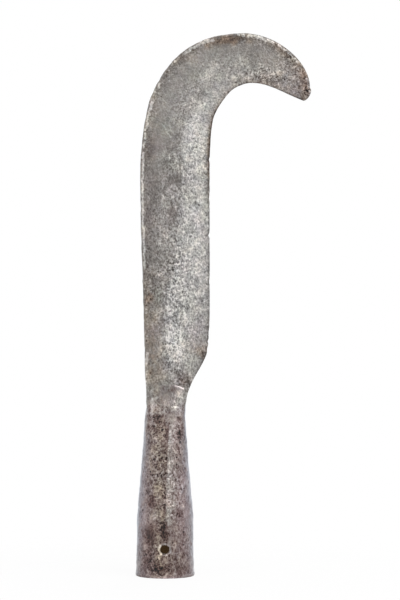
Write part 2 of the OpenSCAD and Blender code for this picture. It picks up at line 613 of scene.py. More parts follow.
def get_numbers(piece: bpy.types.Object, name: str) -> np.ndarray:
    """Reads the number that a mesh holds at each of its points.

    Args:
        piece: the object.
        name: the stored number's name.

    Returns:
        One number for each point.
    """
    values = np.zeros(len(piece.data.vertices), np.float32)
    piece.data.attributes[name].data.foreach_get("value", values)
    return values.astype(float)


def get_points(piece: bpy.types.Object) -> np.ndarray:
    """Reads the points of an object's mesh.

    Args:
        piece: the object.

    Returns:
        One row of x, y and z in millimetres for each point.
    """
    flat = np.zeros(len(piece.data.vertices) * 3, np.float32)
    piece.data.vertices.foreach_get("co", flat)
    return flat.reshape(-1, 3).astype(float) / MM


# Patina: where the metal is ground, stained, sooty or rubbed


class Layer(Enum):
    """What is stored at each point of a finished mesh.

    Tone is added to the metal's level. Stain is rust and pitting the share of pits. The rub layer
    holds bright wear together with painted glints and highlights on edges. Ground is the whetted
    side, and on the socket also the grey neck and a pale strip that is partly a painted highlight.
    Warm is a brown film and cast a purple or a green one. Hollow is the inside of the socket, where
    a painted glow stands for light reflected about in it, and hammer the share of the dents' depth.
    """

    TONE = "tone"
    STAIN = "stain"
    PITTING = "pitting"
    RUB = "rub"
    GROUND = "ground"
    WARM = "warm"
    CAST = "cast"
    HOLLOW = "hollow"
    HAMMER = "hammer"


@dataclass(frozen=True)
class Spot:
    """A patch on the head, in millimetres, as it is seen from the front.

    Its height leans by some degrees towards the edge, and a higher crispness
    gives it a flatter middle and a sharper border.
    """

    x: float
    z: float
    wide: float
    high: float
    amount: float
    lean: float = 0.0
    crisp: float = 1.0

    def cover(self, points: np.ndarray) -> np.ndarray:
        """Works out how much of the patch lies on each point.

        Args:
            points: rows of x, y and z in millimetres.

        Returns:
            One amount for each point.
        """
        turn = math.radians(self.lean)
        x = points[:, 0] - self.x
        z = points[:, 2] - self.z
        across = (x * math.cos(turn) - z * math.sin(turn)) / self.wide
        up = (x * math.sin(turn) + z * math.cos(turn)) / self.high
        return self.amount * np.exp(-((across**2 + up**2) ** self.crisp))


Patina = dict[Layer, tuple[Spot, ...]]
# How far in millimetres the patches of the back lie from those of the front
BACK_SHIFT = np.array([-2.0, 0.0, 13.0])


def paint(piece: bpy.types.Object, patina: Patina, bases: dict[Layer, np.ndarray]) -> None:
    """Stores every layer of a piece: its base and the patches on it.

    Args:
        piece: the object that is painted.
        patina: the patches of each layer.
        bases: what each layer holds before its patches, where that isn't nought.
    """
    points = get_points(piece)
    depth = points[:, 1]
    behind = ease(2.0 * depth / depth.max())
    for layer in Layer:
        total = np.zeros(len(points)) + bases.get(layer, 0.0)
        for spot in patina.get(layer, ()):
            total += between(spot.cover(points), spot.cover(points + BACK_SHIFT), behind)
        set_numbers(piece, layer.value, total)


# Finishes


@dataclass(frozen=True)
class Marks:
    """Patterns and patina of a forged surface, as fields of its material."""

    broad: Field
    cloud: Field
    grain: Field
    speck: Field
    cell: Field
    hue: Field
    flake: Field
    scratch: Field
    pitting: Field
    pit: Field
    tiny: Field
    ground: Field
    stain: Field
    rub: Field
    warm: Field


@dataclass(frozen=True)
class ForgedFinish:
    """Shades and grain of one old forged metal.

    Levels are shades as the eye sees them, from nought to one. Tints are linear
    colours of level one. Sizes are in millimetres. The hollow's glow stands for
    light that is reflected about inside the socket.
    """

    name: str
    level: float
    pale_level: float
    rust_level: float
    tint: Colour
    brown_tint: Colour
    pale_tint: Colour
    rust_tint: Colour
    warm_tint: Colour = (1.14, 0.975, 0.82)
    dark_tint: Colour = (1.4, 0.93, 0.7)
    dark_share: float = 0.4
    hollow_glow: Colour = (0.034, 0.021, 0.01)
    stretch: float = 0.8
    turn_mm: float = 290.0
    hue_mm: float = 9.0
    broad_mm: float = 15.0
    cloud_mm: float = 6.0
    grain_mm: float = 2.0
    speck_mm: float = 0.95
    cell_mm: float = 1.45
    pit_mm: float = 2.6
    flake_mm: float = 3.4
    broad_amp: float = 0.018
    cloud_amp: float = 0.045
    grain_amp: float = 0.045
    speck_amp: float = 0.06
    cell_amp: float = 0.058
    pit_amp: float = 0.26
    flake_amp: float = 0.06
    scratch_amp: float = 0.12
    rub_and_glint_amp: float = 0.25
    darkest: float = 0.04
    palest: float = 0.95
    eye_power: float = 2.2
    bump_mm: float = 0.3
    metallic: float = 0.4
    roughness: float = 0.48
    coat: float = 0.1
    coat_ior: float = 1.5
    coat_roughness: float = 0.3
    drift: float = 0.5
    sheen: float = 0.0
    sheen_roughness: float = 0.4
    sheen_tint: Colour = (0.88, 0.94, 1.0)

    def marks(self, graph: Graph) -> Marks:
        """Lays out the patterns and reads the patina that the mesh carries.

        Args:
            graph: the material's graph.

        Returns:
            The fields that shade, tint and relief are made of.
        """
        place = graph.object_place()
        x, y, z = graph.parts(place)
        above = (z - self.turn_mm * MM).at_least(0.0)
        drawn = graph.join(x, y, self.stretch * z + (1.0 - self.stretch) * above)
        broad = graph.swing(drawn, self.broad_mm * MM, 3.0, 7.0)
        cloud = graph.swing(drawn, self.cloud_mm * MM, 3.0, 11.0)
        grain = graph.swing(drawn, self.grain_mm * MM, 2.0, 1.0)
        vein = graph.swing(drawn, self.flake_mm * MM, 3.0, 17.0)
        pitting = graph.stored(Layer.PITTING)
        share = pitting + 0.08 * cloud + 0.06 * broad
        return Marks(
            broad=broad,
            cloud=cloud,
            grain=grain,
            speck=graph.swing(drawn, self.speck_mm * MM, 1.0, 3.0),
            cell=graph.cells(drawn, self.cell_mm * MM, 2.0 * self.cell_mm * MM),
            hue=graph.swing(drawn, self.hue_mm * MM, 3.0, 23.0),
            flake=(1.0 - 3.0 * abs(vein)).unit() * (0.5 + 0.5 * cloud).unit(),
            scratch=graph.scratches(place, 4.0),
            pitting=pitting,
            pit=graph.pits(place, self.pit_mm * MM, share),
            tiny=graph.pits(place, self.pit_mm * 0.5 * MM, share * 1.4),
            ground=(graph.stored(Layer.GROUND) + 0.03 * broad + 0.06 * cloud).unit(),
            stain=(graph.stored(Layer.STAIN) + 0.14 * broad + 0.18 * cloud).ease(0.2, 0.9),
            rub=(graph.stored(Layer.RUB) + 0.12 * grain + 0.1 * cloud).ease(0.35, 0.8),
            warm=(graph.stored(Layer.WARM) * (1.0 + 0.4 * broad + 0.5 * cloud)).unit(),
        )

    def shade(self, graph: Graph, marks: Marks) -> Field:
        """Works out how pale the metal looks.

        Args:
            graph: the material's graph.
            marks: its patterns and patina.

        Returns:
            The level, mostly from nought to one.
        """
        level = self.level + (self.pale_level - self.level) * marks.ground
        level = level + (self.rust_level - level) * marks.stain * 0.5
        level = level + graph.stored(Layer.TONE) + self.broad_amp * marks.broad
        rough = (0.6 + 3.2 * marks.pitting).at_least(0.3)
        fine = self.grain_amp * marks.grain + self.speck_amp * marks.speck + self.cell_amp * marks.cell
        level = level + rough * (self.cloud_amp * marks.cloud + fine)
        level = level + self.flake_amp * marks.flake * (0.6 + marks.stain)
        # Scratches lighten the metal, and so do rubbed wear and the painted glints and highlights.
        level = level + self.scratch_amp * marks.scratch + self.rub_and_glint_amp * marks.rub
        return level - self.pit_amp * (marks.pit + 0.8 * marks.tiny)

    def hue(self, graph: Graph, marks: Marks, level: Field) -> Field:
        """Works out the metal's tint, from grey iron to rust.

        Args:
            graph: the material's graph.
            marks: its patterns and patina.
            level: how pale the metal looks.

        Returns:
            The tint, a colour of level one.
        """
        tint = graph.blend(self.tint, self.brown_tint, (0.5 + 0.45 * marks.hue).unit())
        tint = graph.blend(tint, self.pale_tint, marks.ground.at_least(marks.rub) * 0.8)
        tint = graph.blend(tint, self.warm_tint, marks.warm * (1.0 - 0.5 * marks.rub))
        tint = graph.blend(tint, self.rust_tint, marks.stain * (1.0 - marks.rub))
        bare = level.ease(0.48, 0.66) * 0.75 * (1.0 - 0.5 * marks.warm)
        tint = graph.blend(tint, self.pale_tint, bare)
        browned = self.dark_share + (1.0 - self.dark_share) * marks.warm
        tint = graph.blend(tint, self.dark_tint, level.ease(0.5, 0.2) * browned)
        cast = graph.stored(Layer.CAST) + 0.6 * self.drift * marks.hue
        drift = self.drift * marks.cloud
        red = 1.0 + 0.03 * cast + 0.03 * drift
        blue = 1.0 + 0.045 * cast - 0.04 * drift
        wash = graph.join(red, 1.0 - 0.03 * cast, blue)
        return graph.vector("MULTIPLY", {0: tint, 1: wash})

    def relief(self, graph: Graph, marks: Marks) -> Field:
        """Makes the fine relief of grain, pits and flakes.

        Args:
            graph: the material's graph.
            marks: its patterns and patina.

        Returns:
            The bumped normal.
        """
        height = 0.5 + 0.08 * marks.grain + 0.04 * marks.speck + 0.07 * marks.cell + 0.08 * marks.cloud
        height = height - 0.5 * marks.pit - 0.25 * marks.tiny + 0.15 * marks.flake
        bump = {"Strength": 1.0, "Distance": self.bump_mm * MM, "Height": height}
        return graph.made("ShaderNodeBump", bump)

    def build(self) -> bpy.types.Material:
        """Makes the material.

        Returns:
            A material whose colour, gloss and relief vary over the surface.
        """
        material = bpy.data.materials.new(self.name)
        graph = emptied_shader(material)
        marks = self.marks(graph)
        level = self.shade(graph, marks)
        light = level.at_least(self.darkest).at_most(self.palest) ** self.eye_power
        tint = self.hue(graph, marks, level)
        gloss = self.roughness + 0.12 * marks.stain - 0.08 * marks.rub + 0.03 * marks.grain
        metal = self.metallic * (1.0 - 0.7 * marks.stain)
        inputs = {
            "Base Color": graph.vector("SCALE", {0: tint, "Scale": light}),
            "Roughness": gloss.unit(),
            "Metallic": metal.unit(),
            "Normal": self.relief(graph, marks),
            "Emission Color": graph.blend((0.0, 0.0, 0.0), self.hollow_glow, graph.stored(Layer.HOLLOW)),
            "Emission Strength": 1.0,
            "Coat Weight": self.coat * level.ease(0.2, 0.46),
            "Coat Roughness": self.coat_roughness,
            "Coat IOR": self.coat_ior,
            "Sheen Weight": self.sheen,
            "Sheen Roughness": self.sheen_roughness,
            "Sheen Tint": (*self.sheen_tint, 1.0),
        }
        surface = graph.made("ShaderNodeBsdfPrincipled", inputs)
        graph.node("ShaderNodeOutputMaterial", {"Surface": surface})
        return material


BLADE_FINISH = ForgedFinish(
    name="old_blade_iron",
    level=0.545,
    pale_level=0.705,
    rust_level=0.45,
    tint=(1.088, 0.98, 0.931),
    brown_tint=(1.078, 0.993, 0.898),
    pale_tint=(1.03, 0.997, 0.957),
    rust_tint=(1.28, 0.945, 0.7),
)

STEEL_FINISH = replace(BLADE_FINISH, name="ground_edge_steel", level=0.55, pale_level=0.71)

SOCKET_FINISH = ForgedFinish(
    name="rusted_socket_iron",
    level=0.41,
    pale_level=0.53,
    rust_level=0.41,
    tint=(1.23, 0.94, 0.915),
    brown_tint=(1.24, 0.95, 0.835),
    pale_tint=(1.08, 0.985, 0.94),
    rust_tint=(1.23, 0.965, 0.74),
    warm_tint=(1.25, 0.955, 0.74),
    dark_tint=(1.68, 0.87, 0.72),
    dark_share=1.0,
    grain_mm=2.3,
    grain_amp=0.052,
    speck_amp=0.064,
    cell_amp=0.064,
    cell_mm=1.6,
    flake_amp=0.07,
    pit_amp=0.3,
    bump_mm=0.4,
    roughness=0.42,
    coat=1.0,
    coat_ior=1.6,
    drift=1.0,
    sheen=0.5,
)


# Relief left by the hammer and by rust


@dataclass(frozen=True)
class ForgeRelief:
    """Dents and pits that follow a surface, all of them inwards. Sizes are in millimetres.

    A flat of one presses them square to the blade's middle plane, and nought along the normals.
    """

    dent_depth: float
    dent_size: float
    wave_depth: float
    wave_size: float
    pit_depth: float
    pit_size: float
    pit_share: float
    flat: float = 0.0

    def press(self, piece: bpy.types.Object, finish: bpy.types.Material) -> None:
        """Presses the relief into a piece where its hammer amount allows.

        Args:
            piece: the object whose mesh is changed.
            finish: the material that the piece gets.
        """
        sizes = {
            "Dent Depth": self.dent_depth * MM,
            "Dent Size": self.dent_size * MM,
            "Wave Depth": self.wave_depth * MM,
            "Wave Size": self.wave_size * MM,
            "Pit Depth": self.pit_depth * MM,
            "Pit Size": self.pit_size * MM,
            "Pit Share": self.pit_share,
            "Flat": self.flat,
        }
        tree = GeometryTree("forge_relief", sizes, takes_mesh=True)
        graph = tree.graph
        size = tree.size
        place = tree.place()
        dent = graph.noise(place, size("Dent Size"), 2.0, 0.45, 21.0)
        wave = graph.noise(place, size("Wave Size"), 3.0, 0.55, 27.0)
        pit = graph.pits(place, size("Pit Size"), size("Pit Share"))
        depth = dent.ease(0.3, 0.7) * size("Dent Depth")
        depth = depth + wave.ease(0.3, 0.7) * size("Wave Depth")
        depth = (depth + pit * size("Pit Depth")) * graph.named(Layer.HAMMER)
        normal = graph.made("GeometryNodeInputNormal")
        _, y, _ = graph.parts(place)
        away = graph.join(0.0, y.sign(), 0.0)
        rest = graph.vector("SCALE", {0: normal, "Scale": 1.0 - size("Flat")})
        side = graph.vector("SCALE", {0: away, "Scale": size("Flat")})
        outwards = graph.vector("ADD", {0: rest, 1: side})
        offset = graph.vector("SCALE", {0: outwards, "Scale": 0.0 - depth})
        inputs = {"Geometry": size("Geometry"), "Offset": offset}
        tree.end(graph.made("GeometryNodeSetPosition", inputs))
        tree.apply(piece, finish)


BLADE_RELIEF = ForgeRelief(
    dent_depth=0.28,
    dent_size=17.0,
    wave_depth=0.16,
    wave_size=6.0,
    pit_depth=0.28,
    pit_size=4.2,
    pit_share=0.2,
    flat=1.0,
)

SOCKET_RELIEF = ForgeRelief(
    dent_depth=0.42,
    dent_size=14.0,
    wave_depth=0.3,
    wave_size=5.0,
    pit_depth=0.4,
    pit_size=4.4,
    pit_share=0.3,
)


def dress(piece: bpy.types.Object, node: Piece, slot: str) -> None:
    """Smooths a finished piece and puts it in the place of its solid.

    Args:
        piece: the finished object.
        node: the solid that it stands for.
        slot: the record's material slot, not used.
    """
    flags = np.ones(len(piece.data.polygons), bool)
    piece.data.polygons.foreach_set("use_smooth", flags)
    piece.data.set_sharp_from_angle(angle=SHARP_ANGLE)
    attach(piece, "root")
    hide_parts(node.value)
    LOG.info("%s: %d faces", piece.name, len(piece.data.polygons))


# The blade and its steel


@dataclass
class Stations:
    """Sections along the blade: points in the flat and sizes in millimetres, one row each."""

    back: np.ndarray
    edge: np.ndarray
    half_back: np.ndarray
    half_edge: np.ndarray
    chamfer: np.ndarray
    bevel: np.ndarray
    shown: np.ndarray
    inside: np.ndarray

    @property
    def width(self) -> np.ndarray:
        """Width of the blade at each station."""
        return np.linalg.norm(self.edge - self.back, axis=1)

    @property
    def root(self) -> np.ndarray:
        """Distance from the back to the bottom of the steel's cleft."""
        return self.width - self.shown - self.inside

    def joined(self, other: Stations) -> Stations:
        """These stations followed by others."""
        pairs = zip(vars(self).values(), vars(other).values())
        return Stations(*(np.concatenate([mine, theirs]) for mine, theirs in pairs))

    def part(self, start: int) -> Stations:
        """The stations from one of them on."""
        return Stations(*(values[start:] for values in vars(self).values()))


@dataclass(frozen=True)
class Nick:
    """A notch or a whetted hollow in the cutting edge, in millimetres."""

    z: float
    deep: float
    half: float


@dataclass
class BladePoints:
    """Points of a piece of the blade, in millimetres, and the zones that they lie in."""

    x: np.ndarray
    z: np.ndarray
    from_back: np.ndarray
    from_edge: np.ndarray
    along: np.ndarray
    above: np.ndarray

    @classmethod
    def of(cls, piece: bpy.types.Object, lap_z: float) -> BladePoints:
        """Reads the points of a lofted piece and the distances stored on them.

        Args:
            piece: the iron or the steel.
            lap_z: height of the socket's lap, above which the blade is clean.

        Returns:
            Its points.
        """
        x, _, z = get_points(piece).T
        stored = (get_numbers(piece, name) for name in ("from_back", "from_edge", "along"))
        return cls(x, z, *stored, above=rise(z, lap_z, 20.0))

    @property
    def hook(self) -> np.ndarray:
        """The hook, above the straight blade."""
        return rise(self.z, 318.0, 14.0)

    @property
    def crown(self) -> np.ndarray:
        """The dark band under the crown."""
        return hump(self.from_back, 4.2, 3.4) * hump(self.x, 45.0, 13.0) * self.hook

    @property
    def brow(self) -> np.ndarray:
        """The pale arris over that band, lighter partly from a painted highlight where it faces up."""
        return hump(self.from_back, 0.6, 1.1) * hump(self.x, 50.0, 9.0) * self.hook

    @property
    def beak(self) -> np.ndarray:
        """The back of the beak."""
        return hump(self.from_back, 2.6, 3.6) * rise(self.x, 66.0, 16.0) * self.hook

    @property
    def throat(self) -> np.ndarray:
        """The dark edge in the throat."""
        return hump(self.from_edge, 0.0, 2.3) * hump(self.z, 300.0, 28.0)

    @property
    def calm(self) -> np.ndarray:
        """The smooth strip beside the back.

        Returns:
            Nought to one at each point.
        """
        upper = hump(self.from_back, 11.0, 6.5) * rise(self.z, 245.0, 45.0) * fall(self.x, 88.0, 12.0)
        lower = 0.25 * hump(self.from_back, 7.0, 4.5) * rise(self.z, 205.0, 30.0)
        return np.maximum(upper, lower * fall(self.z, 330.0, 30.0))


BLADE_PATINA: Patina = {
    Layer.TONE: (
        Spot(-10.2, 297, 3, 10, -0.08),
        Spot(-8.5, 273, 5, 16, -0.05),
        Spot(-8.8, 253, 4, 12, -0.05),
        Spot(2.5, 298.5, 6.5, 1.6, -0.06),
        Spot(-0.7, 295, 3.5, 2, 0.03),
        Spot(0.4, 288, 2, 2.6, -0.06),
        Spot(11.2, 284, 1.5, 6.5, -0.07),
        Spot(7.5, 277, 5.6, 2.9, -0.09, -15, 2),
        Spot(5.5, 269, 4, 6.5, 0.1),
        Spot(10.5, 295, 3.5, 5, 0.07),
        Spot(5.3, 252.5, 3.1, 5.8, -0.13, 0, 2.5),
        Spot(-2.5, 253, 4, 7, 0.08),
        Spot(16.8, 266.5, 5, 3, -0.08),
        Spot(21.5, 303.5, 7, 13, 0.04),
        Spot(31, 325, 6, 10, -0.07),
        Spot(50, 358, 18, 6, 0.035),
        Spot(17, 338, 5, 10, 0.05),
        Spot(6, 246, 4, 18, 0.03),
        Spot(-8, 250, 5, 14, -0.025),
        Spot(70, 346, 6, 2.5, -0.06),
        Spot(-3, 144, 5, 6, -0.05),
        Spot(14.5, 273, 2.5, 14, -0.08),
        Spot(22, 222, 6, 10, 0.04),
        Spot(13.5, 226, 3.5, 4, -0.06),
        Spot(-5, 223, 7, 8, -0.03),
        Spot(45, 368, 14, 3, -0.03),
        Spot(9.8, 225.5, 3.5, 4, -0.06),
        Spot(-7.7, 206.5, 3.5, 5, -0.06),
        Spot(-9, 199, 5, 20, -0.04),
        Spot(26.5, 192, 5, 8, -0.04),
        Spot(22, 159, 7, 7, -0.12),
        Spot(-7.5, 277, 4.5, 8, -0.04),
        Spot(-10, 181, 4, 6, -0.05),
        Spot(63, 362, 4, 8, -0.04),
        Spot(3.5, 172, 4, 4, 0.05),
        Spot(19.6, 312.5, 2.5, 2.5, 0.06),
        Spot(17.5, 252, 7, 7, 0.05),
        Spot(23.5, 241.5, 2.5, 11, 0.04),
        Spot(20.8, 332, 0.6, 4.2, 0.1, -54),
        Spot(-10.8, 212, 2.8, 7, -0.07),
        Spot(0, 208, 3.5, 1.2, -0.08),
        Spot(-9, 197.5, 4.5, 5, -0.04),
        Spot(-11, 182, 2.2, 2.2, -0.08),
        Spot(15.4, 202, 0.8, 17, -0.06),
        Spot(10.5, 187.5, 7, 1.3, -0.07),
        Spot(5.3, 165.5, 5.5, 6.5, 0.17),
        Spot(10.2, 156, 2.5, 5, 0.13, -10),
        Spot(-5, 158, 7, 22, 0.04),
        Spot(16, 161.5, 1.8, 3, -0.07),
        Spot(25.5, 172, 6, 16, -0.08),
        Spot(26, 153.5, 4, 4.6, -0.17),
        Spot(-9.5, 162.5, 2, 3.5, -0.06),
        Spot(-9.8, 141.5, 1.5, 2.2, -0.14),
        Spot(10.5, 140, 1, 5, -0.07, -46),
        Spot(11.2, 137, 2.2, 5, -0.12, -55),
        Spot(7, 139, 0.7, 5, 0.1, -46),
        Spot(16, 136, 1.6, 3.6, -0.2, -20),
        Spot(21, 368, 1.6, 4, -0.08, 60),
        Spot(12, 360.5, 2.6, 4.5, -0.07, 50),
        Spot(31.5, 352.5, 4, 8, 0.1, 50),
        Spot(28.7, 344.8, 4, 6, 0.07, 30),
        Spot(32.9, 331.8, 3, 6.5, 0.06, 30),
        Spot(65.5, 358.5, 2.5, 2, 0.06),
        Spot(78, 352.5, 5, 2, 0.06),
        Spot(56.4, 350.8, 1.8, 1.5, -0.14),
        Spot(67, 349, 2.2, 2.5, -0.16),
        Spot(80.5, 346.5, 2.2, 1.5, -0.16),
        Spot(74.5, 345, 2.5, 1.5, -0.12),
        Spot(61.2, 347.2, 1.1, 1.2, -0.16),
        Spot(71, 349, 1.1, 1, -0.16),
        Spot(73.5, 371, 1.8, 4, -0.08, 115),
        Spot(85.8, 363.3, 2, 3.8, -0.07, 125),
        Spot(98, 341, 5, 8, -0.15),
        Spot(97, 336.5, 2.5, 2, -0.08),
        Spot(98.7, 339.8, 1.2, 1.8, -0.25),
        Spot(97, 340.6, 0.6, 1.2, 0.3),
        Spot(-1.4, 275, 0.6, 2.2, 0.18),
        Spot(-1.6, 264.5, 0.6, 2, 0.16),
        Spot(7.6, 266, 0.6, 2, 0.14),
        Spot(2, 325, 20, 18, 0.04),
        Spot(30, 360, 20, 14, 0.02),
    ),
    Layer.STAIN: (
        Spot(-11, 194.6, 3.5, 5.6, 0.8),
        Spot(-9, 152, 5, 14, 0.5),
        Spot(97, 343, 7, 9, 0.35),
        Spot(26.5, 154, 4, 5, 0.55),
        Spot(11, 136, 3, 3, 0.5),
    ),
    Layer.PITTING: (
        Spot(7.5, 277, 6, 4, -0.15),
        Spot(5.3, 252.5, 3.5, 6, -0.15),
        Spot(3.5, 304, 9, 6, -0.1),
        Spot(4, 289, 9, 6, 0.08),
        Spot(66, 350, 14, 5, 0.2),
        Spot(6, 195, 14, 40, 0.12),
        Spot(10, 203, 9, 26, 0.2),
        Spot(14, 250, 14, 34, 0.12),
        Spot(20, 300, 8, 20, 0.12),
        Spot(86, 350, 14, 12, 0.12),
        Spot(98.5, 338.5, 4.5, 4.5, 0.15),
        Spot(6, 158, 7, 14, 0.26),
        Spot(6, 165, 6, 7, 0.12),
        Spot(10, 136, 8, 7, 0.14),
        Spot(-8, 160, 6, 22, -0.12),
    ),
    Layer.RUB: (
        Spot(4.6, 138, 0.6, 3.2, 0.8),
        Spot(20.8, 332, 0.55, 4.2, 0.7, -54),
        Spot(14.3, 340, 0.5, 2.2, 0.6, -15),
        Spot(79.5, 357.7, 0.35, 3, 0.7, 35),
        Spot(-13.2, 146, 0.9, 14, 0.4),
        Spot(-13.8, 131, 1.2, 8, 0.6),
    ),
    Layer.WARM: (
        Spot(-8, 150, 6, 26, 0.9),
        Spot(-5, 138, 6, 7, 0.8),
        Spot(26, 155, 4, 6, 0.5),
        Spot(12, 366, 10, 8, 0.5),
        Spot(87.5, 363, 5, 5, 0.4),
        Spot(14, 136, 4, 6, 0.5),
        Spot(97, 341, 6.5, 8, 1),
        Spot(-11, 300, 4, 9, 0.4),
        Spot(25, 176, 5, 12, 0.15),
        Spot(8, 158, 14, 20, 0.2),
        Spot(20, 160, 12, 16, 0.25),
        Spot(82, 350, 20, 14, 0.5),
        Spot(-6, 318, 8, 14, 0.35),
        Spot(-10, 180, 5, 20, 0.25),
    ),
    Layer.CAST: (
        Spot(-8, 299, 6, 6, 0.72),
        Spot(-11.5, 251, 3, 8, 0.54),
        Spot(5.3, 252.5, 3.5, 6, 0.48),
        Spot(-11, 275, 3.5, 8, 0.36),
        Spot(5, 288, 8, 6, -0.48),
        Spot(0, 314, 10, 7, -0.36),
        Spot(-5, 195, 3, 6, -0.72),
        Spot(-6, 173, 8, 7, 0.48),
        Spot(23, 166, 7, 12, 0.45),
        Spot(21.7, 349, 6, 6, -0.5),
        Spot(18, 148, 5, 7, -0.48),
        Spot(11.5, 137, 4, 4, 0.7),
        Spot(16, 262, 9, 8, -0.3),
        Spot(22, 245, 5, 12, 0.24),
        Spot(48, 360, 18, 8, -0.24),
        Spot(93, 344, 10, 12, 0.7),
    ),
}


@dataclass
class Blade:
    """The forged blade and the steel welded into its cutting side, in millimetres.

    Handles are shares of the height or width that a curve spans. The ground side, the
    glints and their width change with the height or with the distance along the back.
    """

    sizes: HeadSizes
    tongue_rows: int = 12
    heel_rows: int = 74
    blade_rows: int = 160
    hook_rows: int = 210
    beak_rows: int = 110
    nose_rows: int = 14
    face_columns: int = 58
    steel_columns: int = 16
    spine_columns: int = 7
    arris_columns: tuple[float, ...] = (0.0, 0.1, 0.25, 0.45, 0.7, 1.0, 1.35, 1.75, 2.3)
    tongue_gap: float = 0.3
    tongue_chamfer: float = 0.4
    heel_handles: tuple[float, float] = (0.3, 0.42)
    hook_back_handles: tuple[float, float] = (0.63, 0.7)
    hook_edge_handles: tuple[float, float] = (0.62, 0.65)
    beak_back_handles: tuple[float, float] = (0.44, 0.53)
    beak_edge_handles: tuple[float, float] = (0.33, 0.42)
    nose_turn: float = 84.0
    bevel_soft: float = 0.3
    least_steel: float = 0.08
    edge_wear: float = 0.28
    edge_give: float = 2.6
    back_dent: float = 0.45
    back_give: float = 1.6
    swell: float = 0.65
    swell_z: float = 333.0
    swell_half: float = 13.0
    swell_end_x: float = 10.0
    nicks: tuple[Nick, ...] = (
        Nick(238.0, 0.9, 1.3),
        Nick(205.5, 0.35, 1.8),
        Nick(264.0, 0.3, 1.2),
        Nick(171.0, 0.25, 2.2),
        Nick(165.0, 0.75, 7.0),
        Nick(163.8, 0.6, 1.0),
        Nick(158.0, 1.0, 2.4),
        Nick(291.0, 0.45, 1.4),
        Nick(319.0, 1.15, 12.0),
    )
    ground_at: tuple[float, ...] = (150, 166, 185, 203, 208, 222, 240, 252, 270, 290, 312, 320, 332)
    ground_reach: tuple[float, ...] = (30, 34, 34, 33, 29, 28, 26, 25, 22.5, 21.2, 22, 22, 17)
    ground_soft: tuple[float, ...] = (9, 6, 6, 6, 6, 6, 8, 8, 4, 3, 3, 8, 9)
    glint_runs: tuple[float, ...] = (62, 74, 112, 128, 236, 246, 276, 286, 303, 310, 324, 332, 348, 356)
    glint_limits: tuple[float, ...] = (
        1.4, 1.9, 1.9, 0.65, 0.5, 1.6, 1.5, 0.35, 0.4, 1.3, 1.3, 0.5, 0.5, 0.9
    )
    glint_width_at: tuple[float, ...] = (278.0, 288.0, 346.0, 356.0)
    glint_widths: tuple[float, ...] = (1.0, 1.6, 1.7, 0.9)

    @property
    def thin_z(self) -> float:
        """Height above the lap where the blade starts to thin."""
        return self.sizes.lap_z + 1.0

    def outline(self) -> Stations:
        """Sections from the tongue to the nose.

        Returns:
            The stations in order.
        """
        rows = self.tongue()
        for part in (self.heel(), self.straight(), self.hook(), self.beak(), self.nose()):
            rows = rows.joined(part)
        for side in (rows.back, rows.edge):
            side[:, 0] += self.bend(side[:, 1])
        return rows

    def bend(self, z: np.ndarray) -> np.ndarray:
        """How far the hammered neck leans towards the edge."""
        s = self.sizes
        return s.neck_bend * rise(z, s.bend_start, s.bend_run) * fall(z, s.bend_end, s.bend_run)

    def back_x(self, z: np.ndarray) -> np.ndarray:
        """Place of the back below the hook."""
        s = self.sizes
        return -between(s.neck_half, s.back_reach, rise(z, s.neck_top, s.back_z - s.neck_top))

    def back_half(self, z: np.ndarray) -> np.ndarray:
        """Half thickness of the back below the hook."""
        up = np.clip((z - self.thin_z) / (self.sizes.back_z - self.thin_z), 0, 1)
        return between(self.sizes.root_t, self.sizes.crown_t, up) / 2

    def tongue(self) -> Stations:
        """Sections of the tongue in the socket's neck.

        Returns:
            The stations in order.
        """
        s = self.sizes
        steps = np.linspace(0.0, 1.0, self.tongue_rows)
        half = between(s.tongue_half, s.neck_half, steps)
        z = between(s.hollow_len + self.tongue_gap, s.neck_top, steps)
        flat = np.ones(len(z))
        return Stations(
            back=np.stack([-half, z], 1),
            edge=np.stack([half, z], 1),
            half_back=flat * s.root_t / 2,
            half_edge=flat * s.root_t / 2,
            chamfer=flat * self.tongue_chamfer,
            bevel=half,
            shown=flat * 0.0,
            inside=flat * 0.0,
        )

    def heel(self) -> Stations:
        """Sections from the neck to the top of the heel.

        Returns:
            The stations in order.
        """
        s = self.sizes
        low, high = self.heel_handles
        curve = [
            (s.neck_half, s.neck_top),
            (s.neck_half, s.neck_top + low * s.heel_len),
            (s.edge_x, s.heel_z - high * s.heel_len),
            (s.edge_x, s.heel_z),
        ]
        edge = bezier(curve, steps_to(self.heel_rows))
        z = edge[:, 1]
        grow = rise(z, self.thin_z, s.heel_z - self.thin_z)
        half = self.back_half(z)
        return Stations(
            back=np.stack([self.back_x(z), z], 1),
            edge=edge,
            half_back=half,
            half_edge=half + (s.edge_t / 2 - half) * grow,
            chamfer=between(self.tongue_chamfer, s.back_chamfer, grow),
            bevel=between(s.neck_half, s.bevel_w, grow),
            shown=np.zeros(len(z)),
            inside=np.zeros(len(z)),
        )

    def straight(self) -> Stations:
        """Sections along the straight edge.

        Returns:
            The stations in order.
        """
        s = self.sizes
        steps = steps_to(self.blade_rows)
        z = between(s.heel_z, s.back_z, steps)
        edge_z = between(s.heel_z, s.throat_z, steps)
        fade = rise(edge_z, s.heel_z, s.steel_fade)
        flat = np.ones(len(z))
        return Stations(
            back=np.stack([self.back_x(z), z], 1),
            edge=np.stack([flat * s.edge_x, edge_z], 1),
            half_back=self.back_half(z),
            half_edge=flat * s.edge_t / 2,
            chamfer=flat * s.back_chamfer,
            bevel=flat * s.bevel_w,
            shown=fade * s.steel_w,
            inside=fade * s.steel_in,
        )

